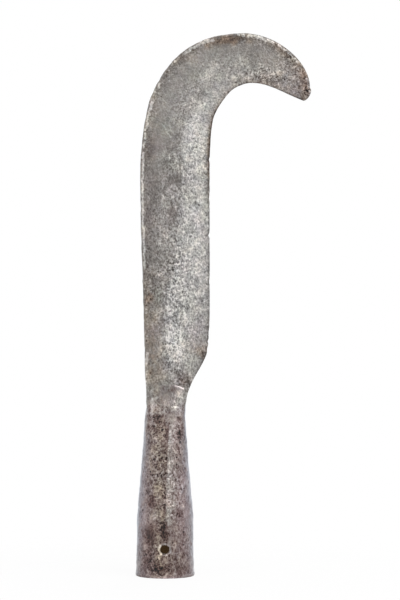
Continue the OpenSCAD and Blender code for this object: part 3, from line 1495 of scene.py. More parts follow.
    def hook(self) -> Stations:
        """Sections round the bend, from the straight back to the crown.

        Returns:
            The stations in order.
        """
        s = self.sizes
        steps = steps_to(self.hook_rows)
        up, over = self.hook_back_handles
        back = [
            (-s.back_reach, s.back_z),
            (-s.back_reach, s.back_z + up * s.hook_rise),
            (s.crown_x - over * (s.crown_x + s.back_reach), s.crown_z),
            (s.crown_x, s.crown_z),
        ]
        up, over = self.hook_edge_handles
        edge = [
            (s.edge_x, s.throat_z),
            (s.edge_x, s.throat_z + up * (s.apex_z - s.throat_z)),
            (s.apex_x - over * (s.apex_x - s.edge_x), s.apex_z),
            (s.apex_x, s.apex_z),
        ]
        flat = np.ones(len(steps))
        return Stations(
            back=bezier(back, steps),
            edge=bezier(edge, steps),
            half_back=flat * s.crown_t / 2,
            half_edge=flat * s.edge_t / 2,
            chamfer=flat * s.back_chamfer,
            bevel=between(s.bevel_w, s.hook_bevel_w, ease(steps)),
            shown=flat * s.steel_w,
            inside=flat * s.steel_in,
        )

    def beak_corners(self) -> tuple[np.ndarray, np.ndarray]:
        """Outer and inner corner of the beak's blunt end."""
        outer = np.array([self.sizes.hook_reach, self.sizes.crown_z - self.sizes.beak_drop])
        return outer, outer - np.array([self.sizes.beak_end_run, self.sizes.beak_end_h])

    @staticmethod
    def tip_shares(width: np.ndarray) -> tuple[np.ndarray, ...]:
        """Chamfer, bevel, shown steel and let-in steel of a section as narrow as the beak's tip."""
        return width / 5, width * 0.6, width * 0.3, width * 0.25

    def beak(self) -> Stations:
        """Sections from the crown to the blunt end of the beak.

        Returns:
            The stations in order.
        """
        s = self.sizes
        steps = steps_to(self.beak_rows)
        outer, inner = self.beak_corners()
        over, down = self.beak_back_handles
        back_curve = [
            (s.crown_x, s.crown_z),
            (s.crown_x + over * (s.hook_reach - s.crown_x), s.crown_z),
            (outer[0], outer[1] + down * s.beak_drop),
            (outer[0], outer[1]),
        ]
        over, down = self.beak_edge_handles
        run = inner[0] - s.apex_x
        lean = math.radians(s.beak_angle)
        edge_curve = [
            (s.apex_x, s.apex_z),
            (s.apex_x + over * run, s.apex_z),
            (inner[0] - down * run * math.cos(lean), inner[1] + down * run * math.sin(lean)),
            (inner[0], inner[1]),
        ]
        back = bezier(back_curve, steps)
        edge = bezier(edge_curve, steps)
        shares = self.tip_shares(np.linalg.norm(edge - back, axis=1))
        full = (s.back_chamfer, s.hook_bevel_w, s.steel_w, s.steel_in)
        return Stations(
            back,
            edge,
            between(s.crown_t, s.tip_t, steps) / 2,
            np.full(len(steps), s.edge_t / 2),
            *(np.minimum(most, share) for most, share in zip(full, shares)),
        )

    def nose(self) -> Stations:
        """Sections that round off the beak's blunt end.

        Returns:
            The stations in order.
        """
        s = self.sizes
        turn = np.radians(np.linspace(0.0, self.nose_turn, self.nose_rows + 1)[1:])[:, None]
        outer, inner = self.beak_corners()
        middle = (outer + inner) / 2
        half = (outer - inner) / 2
        ahead = np.array([half[1], -half[0]]) / np.linalg.norm(half)
        shift = middle + ahead * s.nose_bulge * np.sin(turn)
        back = shift + half * np.cos(turn)
        edge = shift - half * np.cos(turn)
        thick = s.tip_t / 2 * (1.0 - 0.55 * np.sin(turn[:, 0]) ** 3)
        half_edge = np.minimum(s.edge_t / 2, thick * 0.8)
        shares = self.tip_shares(np.linalg.norm(edge - back, axis=1))
        return Stations(back, edge, thick, half_edge, *shares)

    def edge_loss(self, rows: Stations) -> np.ndarray:
        """Works out how deep wear and nicks go into the cutting edge.

        Args:
            rows: the stations.

        Returns:
            The depth at each station.
        """
        run = run_of(rows.edge)
        worn = self.edge_wear * ripple(run, 7.0, 5) * ripple(run, 2.2, 6)
        straight = fall(np.abs(rows.edge[:, 0] - self.sizes.edge_x), 12.0, 6.0)
        for nick in self.nicks:
            worn += straight * nick.deep * hump(rows.edge[:, 1], nick.z, nick.half)
        sharp = np.clip(1.6 - rows.half_edge, 0.0, 1.0)
        return worn * sharp * np.clip(rows.width / 20, 0, 1)

    def back_loss(self, rows: Stations) -> np.ndarray:
        """Works out how deep the hammer dents of the back are, less the swelling in the bend.

        Args:
            rows: the stations.

        Returns:
            The depth at each station.
        """
        run = run_of(rows.back)
        x, z = rows.back.T
        dents = self.back_dent * ripple(run, 11.0, 15) * ripple(run, 3.4, 16)
        dents = dents * rise(z, self.sizes.lap_z, 12)
        bend = fall(x, self.swell_end_x, self.swell_end_x)
        return dents - self.swell * hump(z, self.swell_z, self.swell_half) * bend

    def half_at(self, rows: Stations, across: np.ndarray) -> np.ndarray:
        """Half thickness of the blade.

        Args:
            rows: the stations.
            across: distances from the back, one row for each station.

        Returns:
            Half thickness at each of those places.
        """
        flat = rows.half_back[:, None]
        thin = rows.half_edge[:, None]
        chamfer = rows.chamfer[:, None]
        slope = (flat - thin) / rows.bevel[:, None]
        bevel = thin + slope * (rows.width[:, None] - across)
        side = np.clip(0.5 + 0.5 * (bevel - flat) / self.bevel_soft, 0.0, 1.0)
        half = bevel * (1 - side) + flat * side - self.bevel_soft * side * (1 - side)
        half = np.maximum(half, np.minimum(thin, flat))
        low = np.maximum(flat - chamfer, 0.4 * flat)
        climb = np.sin(np.pi / 2 * np.clip(across / chamfer, 0, 1)) ** 0.85
        return np.minimum(half, low + (flat - low) * climb)

    def loft(self, name: str, rows: Stations, across: np.ndarray, off: np.ndarray) -> bpy.types.Object:
        """Skins closed sections into a piece, with its edge and back worn.

        Args:
            name: the new object's name.
            rows: the stations.
            across: distances from the back, by station and column.
            off: distances from the middle plane, by station and column.

        Returns:
            The new object, with its distances from back and edge stored on its points.
        """
        width = rows.width[:, None]
        moved = across - self.edge_loss(rows)[:, None] * hump(width - across, 0.0, self.edge_give)
        moved = moved + self.back_loss(rows)[:, None] * hump(across, 0.0, self.back_give)
        heading = (rows.edge - rows.back) / width
        flat = rows.back[:, None, :] + heading[:, None, :] * moved[:, :, None]
        points = np.stack([flat[:, :, 0], off, flat[:, :, 1]], 2) * MM
        count, columns = across.shape
        grid = np.arange(count * columns).reshape(count, columns)
        right = np.roll(grid, -1, axis=1)
        faces = np.stack([grid[:-1], right[:-1], right[1:], grid[1:]], 2).reshape(-1, 4).tolist()
        faces.append(grid[0, ::-1].tolist())
        faces.append(grid[-1].tolist())
        piece = new_object(name, points.reshape(-1, 3), faces)
        set_numbers(piece, "from_back", across.ravel())
        set_numbers(piece, "from_edge", (width - across).ravel())
        set_numbers(piece, "along", np.repeat(run_of(rows.back), columns))
        return piece

    def make_iron(self) -> bpy.types.Object:
        """Makes the blade's iron, from the back to the weld with the steel.

        Returns:
            The lofted iron.
        """
        rows = self.outline()
        width = rows.width[:, None]
        near = np.array(self.arris_columns)[None, :] * np.clip(width / 22, 0.15, 1.0)
        last = near[:, -1:]
        far = last + (width - rows.shown[:, None] - last) * steps_to(self.face_columns)[None, :]
        face = np.concatenate([near, far], 1)
        half = self.half_at(rows, face)
        root = rows.root[:, None]
        spine = np.linspace(1.0, -1.0, self.spine_columns)[None, 1:-1] * half[:, :1]
        across = np.concatenate([face, root, face[:, ::-1], np.zeros_like(spine)], 1)
        off = np.concatenate([-half, np.zeros_like(root), half[:, ::-1], spine], 1)
        return self.loft("blade_iron", rows, across, off)

    def make_steel(self) -> bpy.types.Object:
        """Makes the steel strip, from its wedge in the iron to the cutting edge.

        Returns:
            The lofted steel.
        """
        rows = self.outline()
        rows = rows.part(int(np.argmax(rows.shown > self.least_steel)))
        width = rows.width[:, None]
        spread = np.linspace(0.0, 1.0, self.steel_columns)[None, :]
        face = width - rows.shown[:, None] * (1.0 - spread)
        half = self.half_at(rows, face)
        root = rows.root[:, None]
        middle = np.zeros_like(root)
        across = np.concatenate([root, face, width, face[:, ::-1]], 1)
        off = np.concatenate([middle, -half, middle, half[:, ::-1]], 1)
        return self.loft("edge_steel", rows, across, off)

    def glints(self, points: BladePoints) -> np.ndarray:
        """Works out where the arris of the back is rubbed bright and carries painted glints, in dashes.

        Args:
            points: the points of a piece.

        Returns:
            Nought to one at each point.
        """
        along = points.along
        dashes = ripple(along, 1.3, 30) + ripple(along, 3.1, 31) + 0.7 * ripple(along, 12.0, 32)
        dashes = ease((dashes - np.interp(along, self.glint_runs, self.glint_limits)) / 0.3)
        width = np.interp(along, self.glint_width_at, self.glint_widths)
        arris = hump(points.from_back, 1.2 + 1.2 * ripple(along, 2.2, 33), width)
        return arris * points.above * dashes

    def bases(self, points: BladePoints) -> dict[Layer, np.ndarray]:
        """Works out what the layers of a piece hold before their patches.

        Args:
            points: the points of the piece.

        Returns:
            The layers that aren't nought.
        """
        x, z = points.x, points.z
        from_back, from_edge = points.from_back, points.from_edge
        crown, beak, throat = points.crown, points.beak, points.throat
        reach = np.interp(z, self.ground_at, self.ground_reach)
        soft = np.interp(z, self.ground_at, self.ground_soft)
        ground = points.above * (1.0 - ease((from_edge - reach + soft) / soft))
        ground = ground * (1.0 - 0.7 * rise(x, 26.0, 26.0) * rise(z, 300.0, 30.0))
        tone = -0.07 * hump(from_back, 0.0, 8.0) + 0.03 * hump(from_back, 0.0, 0.8)
        tone = tone - 0.16 * hump(from_edge, 0.0, 1.1)
        tone = tone - 0.11 * hump(from_edge, 0.0, 2.0) * fall(z, 226.0, 12.0)
        tone = tone - 0.08 * hump(from_edge, 0.0, 5.0) * rise(z, 205.0, 30.0) * fall(z, 335.0, 15.0)
        # The brow's lift is partly a painted highlight on the arris that faces up.
        tone = tone * points.above - 0.15 * crown - 0.03 * beak - 0.27 * throat + 0.14 * points.brow
        film = 0.5 * hump(from_back, 0.0, 3.4) * points.above + 0.95 * crown + 0.8 * beak + 0.8 * throat
        film = film + 0.6 * hump(from_back, 0.8, 1.4) * hump(x, 35.0, 25.0) * points.hook
        film = film + 0.5 * hump(from_edge, 0.0, 5.0) * rise(z, 255.0, 25.0)
        inner = np.clip(from_back / 2.5, 0, 1) * np.clip(from_edge / 2.0, 0, 1)
        return {
            Layer.TONE: tone,
            Layer.PITTING: 0.1 - 0.16 * points.calm + 0.1 * beak,
            Layer.RUB: self.glints(points),
            Layer.GROUND: ground,
            Layer.WARM: film,
            Layer.STAIN: 0.95 * crown + 0.35 * beak + 0.4 * throat,
            Layer.HAMMER: inner * (1.0 - 0.55 * ground),
        }

    def build(self) -> None:
        """Makes, finishes and places the blade's two pieces."""
        parts = (
            (self.make_iron, BLADE_FINISH, Piece.BLADE, "blade_iron"),
            (self.make_steel, STEEL_FINISH, Piece.STEEL, "edge_steel"),
        )
        for make, look, node, slot in parts:
            piece = make()
            paint(piece, BLADE_PATINA, self.bases(BladePoints.of(piece, self.sizes.lap_z)))
            BLADE_RELIEF.press(piece, look.build())
            dress(piece, node, slot)


# The socket


SOCKET_PATINA: Patina = {
    Layer.TONE: (
        Spot(10, 125.5, 3.6, 5.6, 0.165),
        Spot(11.6, 128, 2.5, 2.5, 0.12),
        Spot(14, 16, 5, 14, -0.04),
        Spot(0.7, 118.7, 4.2, 1.1, 0.08),
        Spot(4.9, 129.9, 1.5, 6, -0.1, 80, 1.5),
        Spot(-11.3, 117, 0.9, 12, -0.14),
        Spot(-9, 119, 0.8, 9, 0.2),
        Spot(-14, 110, 1.6, 18, 0.12),
        Spot(13.5, 108, 1.8, 8, -0.07),
        Spot(1.5, 69, 9, 5, 0.06),
        Spot(6.3, 50.4, 2.5, 4, 0.1),
        # A painted highlight beside the nail hole.
        Spot(8.5, 20, 4.5, 5, 0.05),
        Spot(0, 55, 3.5, 16, -0.05),
        Spot(7, 99, 8, 5, -0.1),
        Spot(-17, 22, 3, 14, -0.05),
        Spot(16, 18, 4, 16, -0.04),
        Spot(13, 6, 4, 4, -0.08),
        Spot(-6, 12, 4, 6, -0.05),
        Spot(-4.5, 110, 3.2, 3.6, -0.18, 0, 2),
        Spot(9.8, 109.5, 1.6, 2.2, -0.24, 0, 1.5),
        Spot(-2, 103, 9, 4, -0.09),
        Spot(-10.8, 95, 1.8, 2.5, -0.1),
        Spot(0.7, 94.5, 1.4, 7.5, -0.13),
        Spot(9.8, 96.6, 2.2, 6.3, -0.12),
        Spot(0.4, 82.6, 1.7, 1.3, -0.16),
        Spot(11.2, 75.2, 2.1, 3.3, -0.1),
        Spot(-4, 85, 5, 25, -0.03),
        Spot(14, 61.3, 4, 9, 0.06),
        Spot(-8.8, 52.5, 3.3, 5, -0.18, 0, 2),
        Spot(10.5, 44.5, 2.6, 3.4, -0.14, 0, 2),
        Spot(-7.7, 43, 4.2, 3, 0.11),
        Spot(-10, 29.5, 5, 7.2, -0.19, 0, 2),
        Spot(-0.8, 33.5, 3.4, 6.4, -0.27, 0, 2),
        Spot(9.2, 62.5, 3.4, 7, 0.09),
        Spot(-13, 14, 2.6, 7, -0.1),
        Spot(-3.2, 7, 6, 5, -0.19, 0, 2),
        Spot(-3, 12, 18, 18, -0.06),
    ),
    Layer.STAIN: (
        Spot(-5, 76, 6, 40, 0.55),
        Spot(9.5, 100, 3, 12, 0.3),
        Spot(-2, 14, 14, 14, 0.2),
    ),
    Layer.PITTING: (
        Spot(-11.2, 30, 4, 7, -0.12),
        Spot(-8.8, 52.5, 3.3, 5, -0.15),
        Spot(12.5, 62, 4, 34, 0.12),
        Spot(-5, 76, 7.5, 42, 0.3),
        Spot(5, 60, 6, 24, 0.24),
        Spot(9.5, 96, 3, 14, 0.18),
        Spot(-2, 12, 14, 14, 0.22),
        Spot(2, 118, 12, 12, 0.16),
        Spot(8.8, 124, 4, 4, 0.16),
        Spot(0.5, 125, 5.6, 5.2, -0.24, 0, 1.5),
        Spot(4.5, 113, 5, 4, -0.2),
    ),
    Layer.RUB: (
        Spot(6.4, 118.2, 2.9, 0.7, 1.3),
        Spot(4.4, 18.5, 1.2, 3, 0.5),
        Spot(-13.2, 124, 0.9, 12, 0.5),
    ),
    Layer.WARM: (
        Spot(-5, 70, 6.5, 48, 0.8),
        Spot(-2, 12, 15, 12, 0.5),
        Spot(-6, 120, 5, 8, 0.2),
        Spot(-2.8, 45, 4, 6, 0.5),
        Spot(-9.5, 5, 5, 4, 0.4),
        Spot(13.5, 93, 2.5, 8, 0.5),
    ),
    Layer.CAST: (
        Spot(15, 45, 5, 40, 0.9),
        Spot(-15, 40, 5, 40, 1),
        Spot(-5, 75, 6, 40, -0.6),
        Spot(2, 122, 12, 12, -0.3),
        Spot(9.5, 126, 4, 5, -0.7),
        Spot(-3, 15, 6, 14, -0.5),
        Spot(5, 60, 4, 25, -0.4),
        Spot(-8.8, 52.5, 3.3, 5, 1),
        Spot(10.5, 44.5, 2.6, 3.4, 0.3),
    ),
}


@dataclass
class SocketPoints:
    """Points of the socket, in millimetres, and where they lie on it."""

    x: np.ndarray
    y: np.ndarray
    z: np.ndarray
    outer: np.ndarray
    to_nail: np.ndarray
    under_lap: np.ndarray

    @property
    def front(self) -> np.ndarray:
        """Which points lie on the front half."""
        return self.y < 0

    @property
    def lip(self) -> np.ndarray:
        """The pale lip at the front of the mouth."""
        return hump(self.z, 0.4, 1.0) * hump(self.x, 1.5, 11.0)

    @property
    def nail_ring(self) -> np.ndarray:
        """The ring round the nail hole, rubbed bright and with a painted highlight."""
        return np.where(self.front, hump(self.to_nail, 0.8, 0.8), 0.0)


@dataclass
class Socket:
    """The rolled iron socket with its flattened neck, lap, nail hole and back seam, in millimetres.

    The two shares are those of a skin's rows that climb its side, before it closes.
    The rules of the skins take a turn round the axis and a place along the rows.
    """

    sizes: HeadSizes
    columns: int = 224
    rows: int = 290
    inner_rows: int = 70
    rim_rows: int = 10
    side_share: float = 0.965
    bore_share: float = 0.86
    closing_z: float = 118.0
    rim_round: float = 1.3
    end_round: float = 1.1
    end_tuck: float = 0.3
    neck_soft: float = 4.0
    dent_room: float = 0.6
    crease_depth: float = 0.5
    crease_low: float = -1.4
    crease_lean: float = 0.036
    crease_reach: float = 11.0
    step_half: float = 0.4
    nail_wear: float = 0.6
    nail_wear_reach: float = 1.6
    seam_depth: float = 1.8
    roll_depth: float = 0.5
    roll_reach: float = 14.0
    punch_len: float = 16.0
    punch_y: float = -18.0
    skin_gap: float = 0.02
    sliver: float = 0.06
    wall_at: tuple[float, ...] = (0.0, 40.0, 90.0, 92.0)
    wall_radius: tuple[float, ...] = (17.9, 17.9, 12.9, 0.0)

    def __post_init__(self) -> None:
        """Starts the tree that rolls the socket, with its sizes as named inputs."""
        s = self.sizes
        lengths = {
            "Mouth Radius": s.mouth_r,
            "Barrel Radius": s.barrel_r,
            "Bore Radius": s.bore_r,
            "Neck Half Width": s.neck_half,
            "Flare Length": s.flare_len,
            "Barrel Length": s.barrel_len,
            "Taper Length": s.taper_len,
            "Neck Top": s.neck_top,
            "Lap Height": s.lap_z,
            "Lap Radius": s.lap_r,
            "Lap Shift": s.lap_shift,
            "Lap Half Depth": s.root_t / 2 + s.lap_t,
            "Tongue Half Depth": s.root_t / 2,
            "Scoop Radius": s.scoop_r,
            "Hollow Depth": s.hollow_len,
            "Hollow End Radius": s.hollow_end_r,
            "Nail Radius": s.nail_r,
            "Nail Height": s.nail_z,
            "Seam Half Width": s.seam_half,
            "Rim Round": self.rim_round,
            "Dent Room": self.dent_room,
            "Neck Bend": s.neck_bend,
            "Crease Depth": self.crease_depth,
            "Crease Low": self.crease_low,
        }
        sizes = {label: length * MM for label, length in lengths.items()}
        sizes["Crease Lean"] = self.crease_lean
        self.tree = GeometryTree("rolled_socket", sizes, takes_mesh=False)
        self.graph = self.tree.graph
        self.size = self.tree.size

    def roll(self) -> None:
        """Fills the tree: three skins merged into a shell, and the nail hole cut through it."""
        u, v, _ = self.graph.parts(self.tree.place())
        turn = (u + 0.5) * (2 * math.pi)
        angle = turn + 0.25 * (2.0 * turn).sin()
        row = v + 0.5
        skins = (
            self.skin(self.rows, self.outside(angle, row)),
            self.skin(self.rim_rows, self.rim(angle, row)),
            self.skin(self.inner_rows, self.inside(angle, 1.0 - row)),
        )
        joined = self.graph.node("GeometryNodeJoinGeometry")
        for skin in skins:
            self.graph.feed(joined.inputs[0], skin)
        shell = self.tree.merged(self.graph.out(joined), self.skin_gap * MM)
        self.tree.end(self.pierced(shell))

    def skin(self, rows: int, points: Field) -> Field:
        """A grid whose points are moved to a rule.

        Args:
            rows: rows of points from one end to the other.
            points: where each point goes.

        Returns:
            The moved grid.
        """
        sizes = {"Size X": 1.0, "Size Y": 1.0, "Vertices X": self.columns + 1, "Vertices Y": rows}
        grid = self.graph.made("GeometryNodeMeshGrid", sizes)
        return self.graph.made("GeometryNodeSetPosition", {"Geometry": grid, "Position": points})

    @staticmethod
    def split(row: Field, share: float) -> tuple[Field, Field]:
        """How far a skin's rows have climbed its side, and how far they have closed its end."""
        return (row / share).unit(), ((row - share) / (1.0 - share)).unit()

    def lap_top(self, across: Field, along_y: Field) -> Field:
        """Height of the outer skin's end: the arch of the lap, and the neck at the sides.

        Args:
            across: cosine of the turn.
            along_y: sine of the turn.

        Returns:
            The height at each turn.
        """
        size = self.size
        lap_x = size("Neck Half Width") * across.signed_power(0.5) - size("Lap Shift")
        arch = size("Lap Height") - size("Lap Radius")
        arch = arch + (size("Lap Radius") ** 2 - lap_x**2).sqrt()
        on_face = abs(along_y).ease(0.12, 0.45)
        return size("Neck Top") + (arch - size("Neck Top")) * on_face

    def half_width(self, z: Field) -> Field:
        """Half width of the socket: flared mouth, barrel, taper and neck.

        Args:
            z: height above the mouth.

        Returns:
            The half width at each height, with room for the dents.
        """
        size = self.size
        ramp = (z - size("Barrel Length")) / size("Taper Length")
        ramp = ramp.soft_max(0.0, 0.12).soft_min(1.0, 0.12)
        flare = (1.0 - z / size("Flare Length")).unit() ** 2
        half = size("Barrel Radius") + (size("Neck Half Width") - size("Barrel Radius")) * ramp
        half = half + (size("Mouth Radius") - size("Barrel Radius")) * flare
        return half + size("Dent Room") * z.ease(0.003, 0.012) * z.ease(0.122, 0.102)

    def outside(self, angle: Field, row: Field) -> Field:
        """Rule for the outer skin: mouth, barrel, taper, flattened neck and lap.

        Args:
            angle: turn round the axis.
            row: place from the mouth to the end of the lap.

        Returns:
            The points of the skin.
        """
        s = self.sizes
        size = self.size
        across = angle.cos()
        along_y = angle.sin()
        climb, shut = self.split(row, self.side_share)
        top = self.lap_top(across, along_y)
        z = size("Rim Round") + (top - size("Rim Round")) * climb
        half = self.half_width(z)
        scoop = (size("Scoop Radius") ** 2 - (size("Lap Height") - z) ** 2).sqrt()
        flat = size("Lap Half Depth") + size("Scoop Radius") - scoop
        depth = half.soft_min(flat, self.neck_soft * MM)
        power = 2.0 / (2.0 + 3.0 * (1.0 - depth / half))
        under = size("Tongue Half Depth") - self.end_tuck * MM
        near_end = (1.0 - (top - z) / (self.end_round * MM)).unit()
        depth = under + (depth - under) * (1.0 - near_end**2).sqrt()
        x = half * across.signed_power(power)
        y = depth * along_y.signed_power(power) - self.back_joint(x, along_y, z)
        y = y + self.front_wear(x, along_y, z)
        bend = z.ease(s.bend_start * MM, (s.bend_start + s.bend_run) * MM)
        bend = bend * z.ease(s.bend_end * MM, (s.bend_end - s.bend_run) * MM)
        x = x + size("Neck Bend") * bend
        keep = 1.0 - shut
        return self.graph.join(x * keep, y * keep, z + (self.closing_z * MM - z) * shut)

    def front_wear(self, x: Field, along_y: Field, z: Field) -> Field:
        """How far the front is worn round the nail hole and sinks beside the upright crease.

        Args:
            x: place across the socket.
            along_y: sine of the turn.
            z: height above the mouth.

        Returns:
            The depth of both.
        """
        size = self.size
        step = self.step_half * MM
        off = (x**2 + (z - size("Nail Height")) ** 2).sqrt() - size("Nail Radius")
        worn = (off / (self.nail_wear_reach * MM)).ease(1.0, -0.2) * along_y.ease(-0.2, -0.4)
        off = x - (size("Crease Low") + size("Crease Lean") * z)
        sunk = off.ease(step, -step) * (off / (self.crease_reach * MM)).ease(-1.0, 0.0)
        sunk = sunk * along_y.ease(-0.3, -0.5) * z.ease(0.024, 0.045) * z.ease(0.118, 0.1)
        return worn * (self.nail_wear * MM) + sunk * size("Crease Depth")

    def back_joint(self, x: Field, along_y: Field, z: Field) -> Field:
        """How far the joint of the rolled plate sinks the skin at the back.

        Args:
            x: place across the socket.
            along_y: sine of the turn.
            z: height above the mouth.

        Returns:
            The depth of the seam and of the lower side of the overlap.
        """
        step = self.step_half * MM
        up = z / self.size("Hollow Depth")
        seam = (abs(x) / self.size("Seam Half Width")).ease(1.0, 0.35) * up.ease(1.06, 0.98)
        rolled = x.ease(-step, step) * (abs(x) / (self.roll_reach * MM)).ease(1.0, 0.0)
        rolled = rolled * up.ease(1.1, 0.7)
        depth = seam * (self.seam_depth * MM) + rolled * (self.roll_depth * MM)
        return along_y.ease(0.2, 0.4) * depth

    def rim(self, angle: Field, row: Field) -> Field:
        """Rule for the rounded rim, from the bore to the outside.

        Args:
            angle: turn round the axis.
            row: place from the bore to the outside.

        Returns:
            The points of the rim.
        """
        size = self.size
        flare = (1.0 - size("Rim Round") / size("Flare Length")) ** 2
        outer = size("Barrel Radius") + (size("Mouth Radius") - size("Barrel Radius")) * flare
        radius = size("Bore Radius") + (outer - size("Bore Radius")) * row
        z = size("Rim Round") * (1.0 - (1.0 - (2.0 * row - 1.0) ** 6).sqrt())
        x = radius * angle.cos()
        sunk = self.back_joint(x, angle.sin(), size("Rim Round"))
        return self.graph.join(x, radius * angle.sin() - sunk * row, z)

    def inside(self, angle: Field, row: Field) -> Field:
        """Rule for the hollow: parallel bore, taper and closed end.

        Args:
            angle: turn round the axis.
            row: place from the mouth to the middle of the closed end.

        Returns:
            The points of the hollow.
        """
        size = self.size
        climb, shut = self.split(row, self.bore_share)
        z = size("Rim Round") + (size("Hollow Depth") - size("Rim Round")) * climb
        taper = ((z - size("Barrel Length")) / (size("Hollow Depth") - size("Barrel Length"))).unit()
        radius = size("Bore Radius") + (size("Hollow End Radius") - size("Bore Radius")) * taper
        radius = radius * (1.0 - shut)
        return self.graph.join(radius * angle.cos(), radius * angle.sin(), z)

    def pierced(self, shell: Field) -> Field:
        """The shell with the nail hole cut through its front wall.

        Args:
            shell: the closed shell.

        Returns:
            The pierced shell, without the slivers that the cut leaves.
        """
        graph = self.graph
        sizes = {"Vertices": 48, "Radius": self.size("Nail Radius"), "Depth": self.punch_len * MM}
        put = {
            "Geometry": graph.made("GeometryNodeMeshCylinder", sizes),
            "Translation": graph.join(0.0, self.punch_y * MM, self.size("Nail Height")),
            "Rotation": (math.pi / 2, 0.0, 0.0),
        }
        meshes = {"Mesh 1": shell, "Mesh 2": graph.made("GeometryNodeTransform", put)}
        cut = graph.made("GeometryNodeMeshBoolean", meshes, operation="DIFFERENCE", solver="EXACT")
        return self.tree.merged(cut, self.sliver * MM)

    def points_of(self, piece: bpy.types.Object) -> SocketPoints:
        """Reads the points of the rolled socket.

        Args:
            piece: the socket.

        Returns:
            Its points and where they lie on it.
        """
        s = self.sizes
        x, y, z = get_points(piece).T
        wall = np.interp(z, self.wall_at, self.wall_radius)
        outer = ease((np.hypot(x, y) - wall) / 0.6)
        to_nail = np.hypot(x, z - s.nail_z) - s.nail_r
        lap_x = x - s.lap_shift - s.neck_bend
        lap_top = s.lap_z - s.lap_r + np.sqrt(np.maximum(s.lap_r**2 - lap_x**2, 0.0))
        return SocketPoints(x, y, z, outer, to_nail, lap_top - z)

    def glints(self, points: SocketPoints) -> np.ndarray:
        """Works out where the nail hole and the lap's end get rubbing and painted highlights, and where the
        rim is rubbed bright.

        Args:
            points: the socket's points.

        Returns:
            The strength of the rubbing and the painted highlights at each point.
        """
        x = points.x
        # Strokes on the lap's end are painted highlights where its step faces up, laid on as rubbing.
        strokes = 0.4 * hump(x, -4.5, 2.5) + 1.1 * hump(x, 9.8, 4.2)
        strokes = strokes * (0.15 + 1.5 * ripple(x + 40.0, 2.0, 41))
        lap = hump(points.under_lap, 0.5 + 1.3 * ripple(x + 40.0, 2.6, 44), 0.9) * strokes
        round_rim = (np.arctan2(points.y, x) + math.pi) * self.sizes.mouth_r
        flecks = ease((ripple(round_rim, 1.6, 42) + ripple(round_rim, 5.0, 43) - 1.0) / 0.4)
        flecks = flecks * hump(points.z, 1.6, 1.2)
        return (0.8 * points.nail_ring + 0.95 * lap + 0.6 * flecks) * points.outer

    def bases(self, points: SocketPoints) -> dict[Layer, np.ndarray]:
        """Works out what the socket's layers hold before their patches.

        Args:
            points: the socket's points.

        Returns:
            The layers that aren't nought.
        """
        x, y, z = points.x, points.y, points.z
        off = x - self.crease_low - self.crease_lean * z
        # The strip is a pale upright band right of the crease, painted partly as worn metal and partly as a
        # highlight down the socket's front.
        strip = ease(off) * hump(off, 0.0, 4.6)
        strip = np.where(points.front, strip * rise(z, 26.0, 16.0) * fall(z, 118.0, 16.0), 0.0)
        away = rise(y, -8.0, 10.0) * points.outer
        blotch = ripple(100.0 + 0.4 * x + y + 0.7 * z, 9.0, 45)
        blotch = blotch + ripple(100.0 + 0.3 * x - y + 0.6 * z, 12.0, 46) - 1.0
        clear = np.where(points.front, np.clip(np.abs(points.to_nail) / 2.0, 0, 1), 1.0)
        ends = np.clip(z / 6.0, 0, 1) * np.clip(points.under_lap / 6.0, 0, 1)
        return {
            Layer.TONE: 0.1 * strip + 0.28 * points.lip + 0.13 * away * blotch,
            Layer.STAIN: 0.7 * away * np.maximum(-blotch, 0.0),
            Layer.CAST: 1.5 * points.lip,
            Layer.RUB: self.glints(points),
            Layer.GROUND: np.maximum(0.9 * rise(z, 106.0, 15.0), 0.75 * strip) * points.outer,
            Layer.HOLLOW: (1.0 - points.outer) * rise(z, 3.0, 6.0),
            Layer.HAMMER: points.outer * clear * ends,
        }

    def build(self) -> None:
        """Makes, finishes and places the socket."""
        look = SOCKET_FINISH.build()
        piece = new_object("socket_iron", np.zeros((0, 3)), [])
        self.roll()
        self.tree.apply(piece, look)
        paint(piece, SOCKET_PATINA, self.bases(self.points_of(piece)))
        SOCKET_RELIEF.press(piece, look)
        dress(piece, Piece.SOCKET, "socket_iron")


# Floor, light and camera


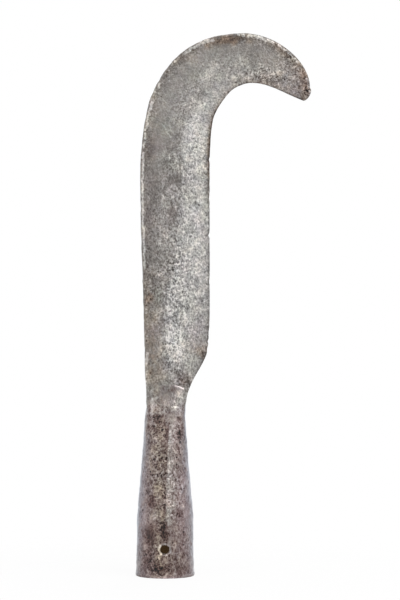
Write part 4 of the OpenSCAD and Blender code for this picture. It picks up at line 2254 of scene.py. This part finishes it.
@dataclass
class Studio:
    """Plain floor, soft light and the camera. Places and sizes are in metres."""

    target: Place = (0.0244, 0.0, 0.1927)
    distance: float = 1.6
    frame_height: float = 0.42
    floor_half: float = 3.0
    fade_start: float = 0.05
    fade_end: float = 0.3
    floor_white: float = 0.93
    key_watts: float = 14.0
    fill_watts: float = 5.0
    ambient: float = 0.5
    dark_side: float = 0.3
    side_tint: Colour = (0.8, 0.89, 1.0)

    def floor(self) -> None:
        """Makes a pale floor that fades out away from the head."""
        half = self.floor_half
        corners = np.array([(-half, -half, 0.0), (half, -half, 0.0), (half, half, 0.0), (-half, half, 0.0)])
        piece = new_object("floor", corners, [[0, 1, 2, 3]])
        material = bpy.data.materials.new("pale_floor")
        graph = emptied_shader(material)
        place = graph.object_place()
        x, y, _ = graph.parts(place)
        fade = (x**2 + y**2).sqrt().ease(self.fade_start, self.fade_end)
        grain = graph.noise(place, 0.05, 2.0, 0.5)
        tint = graph.blend((0.93, 0.93, 0.93), (0.96, 0.96, 0.96), grain)
        matt = {"Base Color": tint, "Roughness": 0.9, "Specular IOR Level": 0.0}
        pale = graph.made("ShaderNodeBsdfPrincipled", matt)
        white = graph.made("ShaderNodeEmission", {"Strength": 1.0})
        clear = graph.made("ShaderNodeBsdfTransparent")
        seen = graph.out(graph.node("ShaderNodeLightPath"), "Is Camera Ray")
        both = graph.made("ShaderNodeMixShader", {0: seen * self.floor_white, 1: pale, 2: white})
        faded = graph.made("ShaderNodeMixShader", {0: fade, 1: both, 2: clear})
        graph.node("ShaderNodeOutputMaterial", {"Surface": faded})
        piece.data.materials.append(material)

    def world(self) -> None:
        """Makes a white surround that shows in the view and in the metal."""
        world = bpy.data.worlds.new("white_surround")
        bpy.context.scene.world = world
        graph = emptied_shader(world)
        path = graph.node("ShaderNodeLightPath")
        _, ahead, _ = graph.parts(graph.out(graph.node("ShaderNodeTexCoord"), "Generated"))
        seen = (graph.out(path, "Is Camera Ray") + graph.out(path, "Is Transmission Ray")).unit()
        mirrored = graph.out(path, "Is Glossy Ray") * (1.0 - seen)
        spread = (1.0 - seen - mirrored).unit()
        around = self.dark_side + (1.0 - self.dark_side) * ahead.ease(-0.8, 0.2)
        strength = seen + mirrored * around + spread * self.ambient
        tint = graph.blend((1.0, 1.0, 1.0), self.side_tint, mirrored * ahead.ease(-0.2, 0.6))
        back = graph.made("ShaderNodeBackground", {"Color": tint, "Strength": strength})
        graph.node("ShaderNodeOutputWorld", {"Surface": back})

    def lamp(self, name: str, place: Place, watts: float, size: float) -> None:
        """Adds one soft lamp that faces the head.

        Args:
            name: the lamp's name.
            place: where it hangs.
            watts: its power.
            size: width of its square face.
        """
        light = bpy.data.lights.new(name, "AREA")
        light.energy = watts
        light.size = size
        lamp = linked(name, light)
        lamp.location = place
        aim = Vector(self.target) - Vector(place)
        lamp.rotation_euler = aim.to_track_quat("-Z", "Y").to_euler()

    def camera(self) -> None:
        """Adds the camera, level with the middle of the head and square to its face."""
        data = bpy.data.cameras.new("camera")
        data.sensor_width = 36.0
        data.lens = data.sensor_width * self.distance / self.frame_height
        data.clip_end = 20.0
        camera = linked("camera", data)
        camera.location = (self.target[0], self.target[1] - self.distance, self.target[2])
        camera.rotation_euler = (math.pi / 2, 0.0, 0.0)
        bpy.context.scene.camera = camera

    def build(self) -> None:
        """Sets up the whole studio."""
        bpy.context.scene.view_settings.view_transform = "Standard"
        self.floor()
        self.world()
        self.lamp("key_lamp", (0.85, -1.0, 1.15), self.key_watts, 1.3)
        self.lamp("fill_lamp", (-0.9, -1.1, 0.6), self.fill_watts, 0.9)
        self.lamp("back_lamp", (0.3, 1.1, 1.2), self.fill_watts, 0.8)
        self.camera()
        LOG.info("studio ready")


def main() -> None:
    """Builds the head and its studio."""
    logging.basicConfig(level=logging.INFO, format="%(message)s")
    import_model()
    sizes = HeadSizes()
    Blade(sizes).build()
    Socket(sizes).build()
    Studio().build()


if __name__ == "__main__":
    main()
